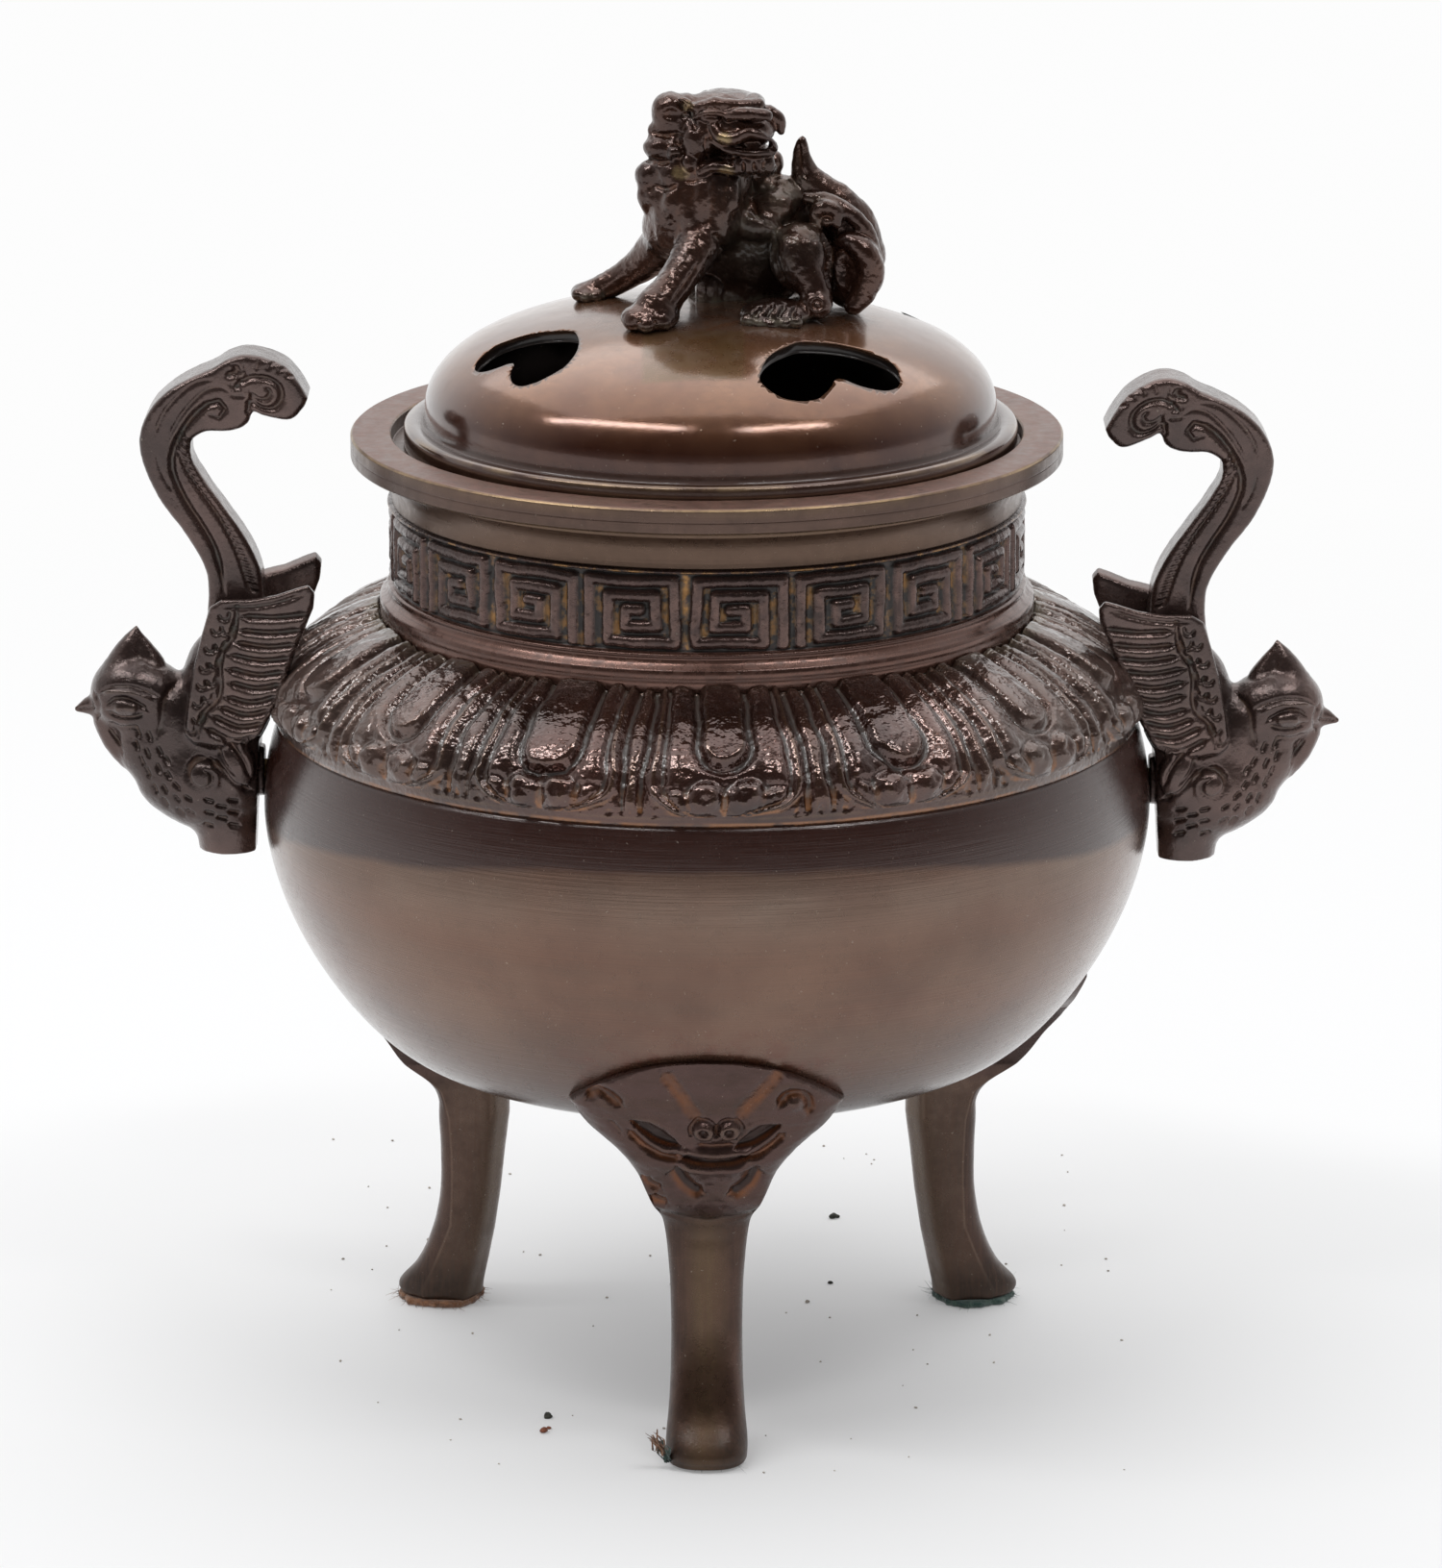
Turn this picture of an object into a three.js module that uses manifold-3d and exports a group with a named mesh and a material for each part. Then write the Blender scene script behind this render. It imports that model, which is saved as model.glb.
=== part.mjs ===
// A tripod censer in patinated bronze: a round bowl on three masked legs, a collar of petals, a fret-banded
// neck, a mouth rim, a vented cover with a seated lion, and two handles in the form of crested birds.
// Millimetres, +Z up, the felt pads stand on z = 0, the front leg points along -Y and the birds face along
// X.

import * as THREE from 'three';
import { mergeVertices } from 'three/addons/utils/BufferGeometryUtils.js';
import Module from 'manifold-3d';

const wasm = await Module();
wasm.setup();

// Fits and facets that all pieces share
const seatGap = 0.3; // left between curved faces that meet
const boreGap = 0.3; // left round a peg or rivet in its hole
const cutOverrun = 3; // how far a cutter runs past what it cuts
const turnedSegments = 32;
const smallSegments = 8;

// Bowl
const bellyRadius = 57;
const bellyHeight = 75.4; // of the widest ring over the floor
const bellyDepth = 48.8; // of the curve that the wall follows below the widest ring
const bellyExponent = 1.79;
const baseHeight = 42.4; // of the flat underside over the floor
const baseBlend = 2.45; // how softly the curve runs into the underside
const shoulderRise = 44; // half height of the ellipse that the wall follows above the widest ring
const bowlRise = 11.5; // from the widest ring to the seat of the collar
const bowlWall = 2.5;
const spigotHeight = 2.4;
const spigotWall = 1.8;

// Petal collar
const collarRise = 13.2;
const collarTopRadius = 41.8;
const collarProud = 0.35; // how far its lip stands out over the bowl
const collarLip = 1.1; // height of the lip's upright edge
const collarWall = 2.6;
const petalCount = 15;
const petalTurn = THREE.MathUtils.degToRad(2.5); // from the front to the middle of the nearest petal
const petalRelief = 0.9;

// Neck band
const neckRise = 15.2;
const neckRadius = 39.8; // ground of the fret
const neckBore = 37.4;
const baseRingHeight = 2.9;
const baseRingBevel = 1.4;
const neckTopMargin = 0.8;
const fretCount = 19;
const fretTurn = THREE.MathUtils.degToRad(5.8);
const fretHeight = 9;
const fretWidth = 11.6;
const fretBar = 1.1; // width of the raised bar
const fretRelief = 0.75;

// Mouth rim
const rimRise = 8.8;
const rimRadius = 45.3;
const rimFlange = 3.3; // thickness of the flange
const rimFillet = 1.3; // height between cove and flange
const coveRadius = 40.2;
const coveTopRadius = 41.3;
const recessRadius = 40.1;
const recessDepth = 1.8;
const edgeBreak = 0.4;

// Cover
const coverRadius = 39;
const coverFlange = 3.1;
const coverSlip = 0.5; // the cover lies off centre in its recess, towards +X
const domeRadius = 36.35;
const domeFoot = 1.4; // upright part under the dome's curve
const domeRise = 13.9;
const domeExponent = 2.23;
const coverWall = 1.6;
const lipDepth = 3.5; // of the locating lip below the seat
const lipGap = 1.1; // between the lip and the neck's bore
const ventCount = 4;
const ventTurn = THREE.MathUtils.degToRad(-57.5);
const ventInner = 19.5; // distance of the vent's tip from the axis
const ventLength = 12.6;
const ventWidth = 17.6;

// Lion and its fastening
const lionHeight = 27.4; // over the top of the dome
const pegRadius = 2;
const pegLength = 7.4; // below the top of the dome
const washerRadius = 4.6;
const washerThickness = 0.8;
const nutAcrossCorners = 8;
const nutThickness = 2.6;
const nutSides = 6;

// Bird handles
const handleStandoff = 1.4; // from the belly's widest ring to the bird's back
const handleReach = 22.8; // from the bird's back to the tip of its beak
const leftHandleHeight = 66.8;
const rightHandleHeight = 64.6;
const leftHandleFoot = 68.7; // height of the bird's stub over the floor
const rightHandleFoot = 67.8;
const handleDepth = 15; // over both wings, along Y
const handleClearance = 0.5; // to the collar's petals
const bossRadius = 3.1;

// Legs and pads
const padThickness = 1;
const padRag = 0.3; // how far the worn edge of the felt wanders
const padWear = 0.8; // how far the front pad has worn back under its foot
const legFootRadius = 40.9; // of the middle of the foot round the axis
const legHeight = 54.7; // from the pad to the top of the mask
const legStem = 7.3; // thickness of the stem along the radius
const legWidth = 9; // across the stem
const maskWidth = 34.4;
const maskThickness = 1; // over the belly
const legBack = 5; // width of the flat back of the stem

// Rivets
const rivetRadius = 1.5;
const rivetHeadRadius = 2.7;
const rivetHead = 1.2;
const rivetHeadGap = 1; // to the hollow side of the wall, so that the flat head clears its curve
const handleRivetBite = 5; // into the bird, from the wall's outside
const legRivetBite = 5.5;
const legRivetRadius = 35.2; // from the axis to the leg's rivet, at the wall

// Heights that follow from the sizes above
const collarSeat = bellyHeight + bowlRise;
const neckSeat = collarSeat + collarRise;
const rimSeat = neckSeat + neckRise;
const rimTop = rimSeat + rimRise;
const coverSeat = rimTop - recessDepth;
const domeBase = coverSeat + coverFlange + domeFoot;
const domeTop = domeBase + domeRise;

const bronze = { color: 0x4b3226, roughness: 0.38, metalness: 0.9 };
const darkBronze = { color: 0x33241e, roughness: 0.45, metalness: 0.85 };
const wornBrass = { color: 0x8a6a3c, roughness: 0.4, metalness: 0.95 };
const greenFelt = { color: 0x1f4a44, roughness: 1, metalness: 0 };
const brownFelt = { color: 0x6b4322, roughness: 1, metalness: 0 };

// Turns a closed geometry into a solid: shared corners are welded, and a shell that faces inward is turned
// round.
function toSolid(geometry) {
  const bare = geometry.clone();
  bare.deleteAttribute('normal');
  bare.deleteAttribute('uv');
  const welded = mergeVertices(bare);
  const places = welded.attributes.position.array;
  const faces = [];
  let volume = 0;
  for (let i = 0; i < welded.index.count; i += 3) {
    const [a, b, c] = [0, 1, 2].map((k) => welded.index.getX(i + k));
    if (a === b || b === c || c === a) continue;
    const [pa, pb, pc] = [a, b, c].map((v) => new THREE.Vector3().fromArray(places, v * 3));
    volume += pa.dot(pb.cross(pc));
    faces.push(a, b, c);
  }
  if (volume < 0) faces.reverse();
  const triVerts = Uint32Array.from(faces);
  const mesh = new wasm.Mesh({ numProp: 3, vertProperties: Float32Array.from(places), triVerts });
  return new wasm.Manifold(mesh);
}

function joined(solids) {
  return solids.reduce((whole, solid) => whole.add(solid));
}

function cutBy(solid, cutters) {
  return cutters.reduce((rest, cutter) => rest.subtract(cutter), solid);
}

function toMesh(name, solid, look) {
  const mesh = solid.getMesh();
  const geometry = new THREE.BufferGeometry();
  const places = [];
  for (let i = 0; i < mesh.vertProperties.length; i += mesh.numProp) {
    places.push(...mesh.vertProperties.slice(i, i + 3));
  }
  geometry.setAttribute('position', new THREE.Float32BufferAttribute(places, 3));
  geometry.setIndex([...mesh.triVerts]);
  geometry.computeVertexNormals();
  const piece = new THREE.Mesh(geometry, new THREE.MeshStandardMaterial(look));
  piece.name = name;
  return piece;
}

// Revolves a profile of [radius, height] points about Z.
function revolve(profile, segments = turnedSegments) {
  const points = profile.map(([radius, height]) => new THREE.Vector2(radius, height));
  return new THREE.LatheGeometry(points, segments).rotateX(Math.PI / 2);
}

// Skins rings of equal point counts, one after another, and closes both ends.
function loft(rings) {
  const count = rings[0].length;
  const middle = (ring) => ring.reduce((sum, p) => sum.clone().add(p)).divideScalar(count);
  const points = [...rings.flat(), middle(rings[0]), middle(rings[rings.length - 1])];
  const faces = [];
  const startHub = points.length - 2;
  const endHub = points.length - 1;
  const lastRing = (rings.length - 1) * count;
  for (let k = 0; k < count; k += 1) {
    const next = (k + 1) % count;
    for (let r = 0; r < rings.length - 1; r += 1) {
      const low = r * count;
      const high = low + count;
      faces.push(low + k, low + next, high + next, low + k, high + next, high + k);
    }
    faces.push(startHub, next, k, endHub, lastRing + k, lastRing + next);
  }
  const geometry = new THREE.BufferGeometry().setFromPoints(points);
  geometry.setIndex(faces);
  return geometry;
}

const ballRowShare = 0.6; // rows of a ball per segment round it

function ball(centre, radii, segments = 8) {
  const rows = Math.ceil(segments * ballRowShare);
  return new THREE.SphereGeometry(1, segments, rows).scale(...radii).translate(...centre);
}

// A round limb along a smooth curve through the stations, each [x, y, z, radius].
const steepShare = 0.9;

function limb(stations, rings = 4, sides = 6) {
  const path = new THREE.CatmullRomCurve3(stations.map(([x, y, z]) => new THREE.Vector3(x, y, z)));
  const sizes = new THREE.SplineCurve(stations.map(([, , , radius], i) => new THREE.Vector2(i, radius)));
  const sections = [];
  for (let i = 0; i <= rings; i += 1) {
    const along = path.getTangent(i / rings);
    const helper = Math.abs(along.y) > steepShare ? new THREE.Vector3(1, 0, 0) : new THREE.Vector3(0, 1, 0);
    const side = new THREE.Vector3().crossVectors(along, helper).normalize();
    const up = new THREE.Vector3().crossVectors(side, along);
    const section = [];
    for (let k = 0; k < sides; k += 1) {
      const turn = (k / sides) * 2 * Math.PI;
      const out = side.clone().multiplyScalar(Math.cos(turn)).addScaledVector(up, Math.sin(turn));
      section.push(path.getPoint(i / rings).addScaledVector(out, sizes.getPoint(i / rings).y));
    }
    sections.push(section);
  }
  return loft(sections);
}

// A round bar from one point to another, for rivets, pegs and their holes.
function bar(from, to, radius, segments = smallSegments) {
  const along = to.clone().sub(from);
  const upright = new THREE.Vector3(0, 1, 0);
  const turn = new THREE.Quaternion().setFromUnitVectors(upright, along.clone().normalize());
  const middle = from.clone().add(to).divideScalar(2);
  return new THREE.CylinderGeometry(radius, radius, along.length(), segments)
    .applyQuaternion(turn)
    .translate(middle.x, middle.y, middle.z);
}

function polar(radius, angle, height) {
  return new THREE.Vector3(radius * Math.cos(angle), radius * Math.sin(angle), height);
}

// Bowl: the outside is a squared-off ellipse that runs softly into a flat underside, and a plain ellipse
// above the widest ring. Each function also gives the surface that lies an offset outside of it.
function bellyRadiusAt(height, offset = 0) {
  const radius = bellyRadius + offset;
  const shoulderShare = (height - bellyHeight) / (shoulderRise + offset);
  if (height >= bellyHeight) return radius * Math.sqrt(1 - shoulderShare ** 2);
  const overBase = (height - baseHeight + offset) / baseBlend;
  const plain = baseHeight - offset + baseBlend * Math.log(Math.max(Math.exp(overBase) - 1, 0));
  const share = Math.min((bellyHeight - plain) / (bellyDepth + offset), 1);
  return radius * (1 - share ** bellyExponent) ** (1 / bellyExponent);
}

function bellyHeightAt(radius, offset = 0) {
  const share = Math.min(radius / (bellyRadius + offset), 1);
  const plain = bellyHeight - (bellyDepth + offset) * (1 - share ** bellyExponent) ** (1 / bellyExponent);
  const base = baseHeight - offset;
  return base + baseBlend * Math.log(1 + Math.exp((plain - base) / baseBlend));
}

// The wall's curve from the underside on the axis up to a height.
const flatShare = 0.5; // of the belly's radius, where the steps up the curve begin

function bellyCurve(topHeight, offset, lowSteps, highSteps) {
  const points = [[0, bellyHeightAt(0, offset)]];
  const start = Math.asin(flatShare);
  for (let i = 0; i <= lowSteps; i += 1) {
    const turn = THREE.MathUtils.lerp(start, Math.PI / 2, i / lowSteps);
    const radius = (bellyRadius + offset) * Math.sin(turn);
    points.push([radius, bellyHeightAt(radius, offset)]);
  }
  for (let i = 1; i <= highSteps; i += 1) {
    const height = THREE.MathUtils.lerp(bellyHeight, topHeight, i / highSteps);
    points.push([bellyRadiusAt(height, offset), height]);
  }
  return points;
}

function bellySpace(offset) {
  const top = collarSeat + cutOverrun;
  return toSolid(revolve([...bellyCurve(top, offset, 11, 3), [0, top]]));
}

function bowl() {
  const outside = bellyCurve(collarSeat, 0, 8, 2);
  const inside = bellyCurve(collarSeat - bowlWall, -bowlWall, 6, 1).reverse();
  const spigotRadius = collarInside() - seatGap;
  const spigot = [
    [spigotRadius, collarSeat],
    [spigotRadius, collarSeat + spigotHeight],
    [spigotRadius - spigotWall, collarSeat + spigotHeight],
    [spigotRadius - spigotWall, collarSeat],
  ];
  const shell = toSolid(revolve([...outside, ...spigot, ...inside]));
  return cutBy(shell, rivets().map(({ hole }) => hole));
}

// Collar: the outside swells from the neck to an upright lip, and the petals stand out of it.
const collarLipRadius = bellyRadiusAt(collarSeat) + collarProud;
const collarCurveShare = 1.79;
const collarDropShare = 0.87;
const collarShoulderShare = 2; // of its wall, down from the neck to the widening of the hollow

function collarInside() {
  return collarLipRadius - collarWall;
}

function collarPoint(downShare, offset = 0) {
  const turn = downShare * (Math.PI / 2);
  const reach = collarLipRadius - collarTopRadius;
  const radius = collarTopRadius + reach * Math.sin(turn) ** collarCurveShare + offset;
  const drop = Math.cos(turn) ** collarDropShare;
  const height = collarSeat + collarLip + (collarRise - collarLip) * drop + offset;
  return [radius, height];
}

// Relief of a petal by its rows from the neck to the lip, for its edge strip, groove, rim, inner groove and
// middle.
const petalColumnShares = [-0.5, -0.4, -0.3, -0.16, 0, 0.16, 0.3, 0.4];
const petalRowShares = [0, 0.22, 0.48, 0.62, 0.72, 0.84, 1];
const petalReliefShares = [
  [0, 0, 0, 0, 0],
  [0.5, 0, 0.8, 0.2, 0.9],
  [0.6, 0, 1, 0.2, 1],
  [0.6, 0, 1, 0.4, 0.7],
  [0.6, 0, 1, 0.8, 0.2],
  [0.5, 0, 0.8, 0.9, 0.4],
  [0, 0, 0, 0, 0],
];

function petalCollar() {
  const perPetal = petalColumnShares.length;
  const columns = petalCount * perPetal;
  const rings = [];
  for (let row = 0; row < petalRowShares.length; row += 1) {
    const [radius, height] = collarPoint(petalRowShares[row]);
    const lean = petalRowShares[row] * (Math.PI / 2);
    const ring = [];
    for (let column = 0; column < columns; column += 1) {
      const step = column % perPetal;
      const turns = (Math.floor(column / perPetal) + petalColumnShares[step]) / petalCount;
      const angle = petalTurn - Math.PI / 2 + turns * 2 * Math.PI;
      const fromEdge = step <= perPetal / 2 ? step : perPetal - step;
      const rise = petalRelief * petalReliefShares[row][fromEdge];
      ring.push(polar(radius + rise * Math.sin(lean), angle, height + rise * Math.cos(lean)));
    }
    rings.push(ring);
  }
  const lip = [];
  for (const point of rings[rings.length - 1]) {
    lip.push(point.clone().setZ(collarSeat));
  }
  const bore = neckBore + spigotWall + boreGap;
  const hollow = [
    [0, collarSeat - cutOverrun],
    [collarInside(), collarSeat - cutOverrun],
    [collarInside(), collarSeat + spigotHeight + seatGap],
    [(collarInside() + bore) / 2, neckSeat - collarWall * collarShoulderShare],
    [bore, neckSeat - collarWall],
    [bore, neckSeat + cutOverrun],
    [0, neckSeat + cutOverrun],
  ];
  return toSolid(loft([...rings, lip])).subtract(toSolid(revolve(hollow)));
}

// What the collar and belly fill, grown by a clearance, which the bird handles are cut back to.
function handleStop() {
  const clear = petalRelief + handleClearance;
  const collar = petalRowShares.map((share) => collarPoint(share, clear)).reverse();
  const belly = bellyCurve(collarSeat, seatGap, 10, 3);
  const lip = [collarLipRadius + handleClearance, collarSeat];
  return toSolid(revolve([...belly, lip, ...collar, [0, neckSeat + clear]]));
}

// Neck: a turned base ring, then the band whose ground carries square spirals in relief.
function neckBand() {
  const spigotTop = neckSeat - spigotHeight;
  const bandLow = neckSeat + baseRingHeight + baseRingBevel;
  const profile = [
    [collarTopRadius, neckSeat],
    [collarTopRadius, neckSeat + baseRingHeight],
    [neckRadius + fretRelief, bandLow],
    [neckRadius, bandLow],
    [neckRadius, rimSeat - neckTopMargin],
    [neckRadius + fretRelief, rimSeat - neckTopMargin],
    [neckRadius + fretRelief, rimSeat],
    [neckBore, rimSeat],
    [neckBore, spigotTop],
    [neckBore + spigotWall, spigotTop],
    [neckBore + spigotWall, neckSeat],
    [collarTopRadius, neckSeat],
  ];
  const band = toSolid(revolve(profile, fretCount * 2));
  const units = [];
  for (let i = 0; i < fretCount; i += 1) {
    const angle = fretTurn - Math.PI / 2 + (i / fretCount) * 2 * Math.PI;
    units.push(toSolid(fretUnit(angle, i % 2 === 1, (bandLow + rimSeat - neckTopMargin) / 2)));
  }
  return joined([band, ...units]);
}

// The corners of the spiral's middle line, in half widths and half heights of the unit.
const fretPathShares = [
  [-1, -1], [-1, 1], [1, 1], [1, -1], [-0.5, -1], [-0.5, 0.2], [0.5, 0.2],
];

// Gives a square path its width: each corner is moved along both of its sides' normals.
function barOutline(path, width) {
  const normal = ([ax, ay], [bx, by]) => [Math.sign(ay - by), Math.sign(bx - ax)];
  const edge = (side) => path.map((point, i) => {
    const before = i > 0 ? normal(path[i - 1], point) : [0, 0];
    const after = i < path.length - 1 ? normal(point, path[i + 1]) : [0, 0];
    const corner = (axis) => point[axis] + side * (width / 2) * (before[axis] + after[axis]);
    return new THREE.Vector2(corner(0), corner(1));
  });
  return [...edge(1), ...edge(-1).reverse()];
}

function fretUnit(angle, mirrored, height) {
  const halfWidth = (fretWidth - fretBar) / 2;
  const halfHeight = (fretHeight - fretBar) / 2;
  const hand = mirrored ? -1 : 1;
  const path = fretPathShares.map(([x, y]) => [hand * halfWidth * x, halfHeight * y]);
  const depth = fretRelief + neckRadius * (1 - Math.cos(Math.PI / fretCount)) + seatGap;
  return new THREE.ExtrudeGeometry(new THREE.Shape(barOutline(path, fretBar)), { depth, bevelEnabled: false })
    .rotateX(Math.PI / 2)
    .translate(0, -(neckRadius + fretRelief - depth), height)
    .rotateZ(angle + Math.PI / 2);
}

function mouthRim() {
  const flangeLow = rimTop - rimFlange;
  const coveTop = flangeLow - rimFillet;
  const profile = [
    [coveRadius, rimSeat],
    [coveRadius, rimSeat + edgeBreak],
    [(coveRadius + coveTopRadius) / 2, (rimSeat + coveTop) / 2],
    [coveTopRadius, coveTop],
    [coveTopRadius, flangeLow],
    [rimRadius - edgeBreak, flangeLow],
    [rimRadius, flangeLow + edgeBreak],
    [rimRadius, rimTop - edgeBreak],
    [rimRadius - edgeBreak, rimTop],
    [recessRadius, rimTop],
    [recessRadius, coverSeat],
    [neckBore, coverSeat],
    [neckBore, rimSeat],
    [coveRadius, rimSeat],
  ];
  return toSolid(revolve(profile));
}

// Cover: a shell with a flange that lies in the recess and a lip that finds the neck's bore.
function domeCurve(radius, rise, base, steps) {
  const points = [];
  for (let i = 0; i <= steps; i += 1) {
    const turn = (i / steps) * (Math.PI / 2);
    const height = base + rise * Math.sin(turn) ** (2 / domeExponent);
    points.push([radius * Math.cos(turn) ** (2 / domeExponent), height]);
  }
  points[steps][0] = 0;
  return points;
}

function domeHeightAt(radius, offset = 0) {
  const share = Math.min(radius / (domeRadius + offset), 1);
  return domeBase + (domeRise + offset) * (1 - share ** domeExponent) ** (1 / domeExponent);
}

function cover() {
  const flangeTop = coverSeat + coverFlange;
  const lipRadius = neckBore - lipGap;
  const insideRadius = domeRadius - coverWall;
  const outer = domeCurve(domeRadius, domeRise, domeBase, 7);
  const inner = domeCurve(insideRadius, domeRise - coverWall, domeBase, 4).reverse();
  const profile = [
    ...inner,
    [insideRadius, coverSeat - lipDepth],
    [lipRadius, coverSeat - lipDepth],
    [lipRadius, coverSeat],
    [coverRadius, coverSeat],
    [coverRadius, flangeTop - edgeBreak],
    [coverRadius - edgeBreak, flangeTop],
    [domeRadius, flangeTop],
    ...outer,
  ];
  const shell = toSolid(revolve(profile));
  const hole = toSolid(bar(polar(0, 0, domeBase), polar(0, 0, domeTop + cutOverrun), pegRadius + boreGap));
  return cutBy(shell, [hole, ...ventCutters()]).translate(coverSlip, 0, 0);
}

// One vent: a heart whose point looks to the middle of the cover, cut straight down.
const ventShoulderShare = 0.55;
const ventNotchShare = 0.8;
const ventLobeShare = 1.12;
const ventBackShare = 0.4; // of its length, from the shoulder back to the control point of its side
const ventSideShare = 0.75; // of its half width
const ventInnerShare = 0.25; // of its half width, beside the notch

function ventCutters() {
  const half = ventWidth / 2;
  const shoulder = ventInner + ventLength * ventShoulderShare;
  const notch = ventInner + ventLength * ventNotchShare;
  const end = ventInner + ventLength * ventLobeShare;
  const heart = new THREE.Shape();
  heart.moveTo(ventInner, 0);
  heart.quadraticCurveTo(shoulder - ventLength * ventBackShare, half * ventSideShare, shoulder, half);
  heart.bezierCurveTo(end, half, end, half * ventInnerShare, notch, 0);
  heart.bezierCurveTo(end, -half * ventInnerShare, end, -half, shoulder, -half);
  heart.quadraticCurveTo(shoulder - ventLength * ventBackShare, -half * ventSideShare, ventInner, 0);
  const depth = domeRise + cutOverrun;
  const cutters = [];
  for (let i = 0; i < ventCount; i += 1) {
    const slab = new THREE.ExtrudeGeometry(heart, { depth, bevelEnabled: false, curveSegments: 4 })
      .rotateZ(ventTurn + (i / ventCount) * 2 * Math.PI)
      .translate(0, 0, domeBase);
    cutters.push(toSolid(slab));
  }
  return cutters;
}

// Lion: places and sizes in shares of its height, from the top of the dome. It sits towards +X, its
// forelegs reach to the left and front, and its head looks back over its near shoulder.
const lionBallShares = [
  [[0.36, 0.12, 0.18], [0.3, 0.26, 0.2]],
  [[0.05, 0.03, 0.1], [0.28, 0.2, 0.22]],
  [[-0.14, -0.06, 0.46], [0.22, 0.24, 0.24]],
  [[0.02, -0.1, 0.83], [0.25, 0.22, 0.165]],
  [[0.14, -0.2, 0.9], [0.16, 0.16, 0.08]],
  [[0.21, -0.25, 0.79], [0.1, 0.11, 0.09]],
  [[0.14, -0.2, 0.66], [0.13, 0.12, 0.07]],
  [[-0.2, -0.1, 0.88], [0.08, 0.11, 0.08]],
  [[0.4, -0.16, 0.14], [0.17, 0.15, 0.2]],
  [[0.27, -0.27, 0.02], [0.17, 0.11, 0.08]],
  [[0.34, 0.36, 0.01], [0.17, 0.1, 0.08]],
  [[-0.26, -0.41, 0], [0.14, 0.11, 0.1]],
  [[-0.53, 0.08, -0.02], [0.11, 0.09, 0.07]],
];
const lionCurlShares = [
  [-0.25, -0.04, 0.76, 0.1],
  [-0.25, -0.1, 0.62, 0.11],
  [-0.2, 0.1, 0.68, 0.1],
  [-0.02, 0.12, 0.77, 0.12],
  [0.6, -0.06, 0.28, 0.08],
];
const lionLimbShares = {
  torso: [
    [0.58, 0.16, 0.14, 0.14], [0.44, 0.12, 0.26, 0.24], [0.16, 0.03, 0.38, 0.22],
    [-0.08, -0.06, 0.62, 0.22],
  ],
  nearForeleg: [
    [-0.08, -0.16, 0.44, 0.13], [-0.12, -0.25, 0.24, 0.1], [-0.2, -0.34, 0.1, 0.08],
    [-0.26, -0.4, 0.01, 0.08],
  ],
  farForeleg: [
    [-0.24, 0.04, 0.42, 0.12], [-0.32, 0.07, 0.22, 0.1], [-0.43, 0.08, 0.08, 0.075], [-0.53, 0.08, 0, 0.07],
  ],
  tail: [
    [0.56, 0.18, 0, 0.09], [0.7, 0.16, 0.14, 0.1], [0.7, 0.12, 0.34, 0.1], [0.56, 0.07, 0.5, 0.1],
    [0.46, 0.05, 0.64, 0.08], [0.42, 0.05, 0.76, 0.025],
  ],
};

const pegTopShare = 0.25; // how high the peg runs up inside the lion

function finialLion() {
  const sized = (shares) => shares.map((share) => share * lionHeight);
  const balls = lionBallShares.map(([centre, radii]) => ball(sized(centre), sized(radii)));
  const curls = lionCurlShares.map((shares) => {
    const [x, y, z, radius] = sized(shares);
    return ball([x, y, z], [radius, radius, radius], 6);
  });
  const limbs = Object.values(lionLimbShares).map((stations) => {
    return limb(stations.map(sized), stations.length + 1);
  });
  const peg = toSolid(bar(polar(0, 0, -pegLength), polar(0, 0, lionHeight * pegTopShare), pegRadius));
  const figure = joined([...balls, ...curls, ...limbs].map(toSolid)).translate(0, 0, domeTop);
  const grown = domeRadius + seatGap;
  const underneath = domeCurve(grown, domeRise + seatGap, domeBase, 9);
  const space = toSolid(revolve([[0, domeBase - cutOverrun], [grown, domeBase - cutOverrun], ...underneath]));
  return joined([figure.subtract(space), peg.translate(0, 0, domeTop)]).translate(coverSlip, 0, 0);
}

// Washer and nut on the lion's peg, under the cover.
const washerTop = domeHeightAt(washerRadius, -coverWall) - seatGap;

function ringPlate(outline, thickness, top) {
  outline.holes.push(new THREE.Path().absarc(0, 0, pegRadius + boreGap, 0, 2 * Math.PI));
  const shape = { depth: thickness, bevelEnabled: false, curveSegments: 8 };
  const plate = new THREE.ExtrudeGeometry(outline, shape);
  return toSolid(plate.translate(coverSlip, 0, top - thickness));
}

function finialWasher() {
  const outline = new THREE.Shape().absarc(0, 0, washerRadius, 0, 2 * Math.PI);
  return ringPlate(outline, washerThickness, washerTop);
}

function finialNut() {
  const corners = [];
  for (let i = 0; i < nutSides; i += 1) {
    const turn = (i / nutSides) * 2 * Math.PI;
    corners.push(new THREE.Vector2(Math.cos(turn), Math.sin(turn)).multiplyScalar(nutAcrossCorners / 2));
  }
  return ringPlate(new THREE.Shape(corners), nutThickness, washerTop - washerThickness);
}

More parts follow.
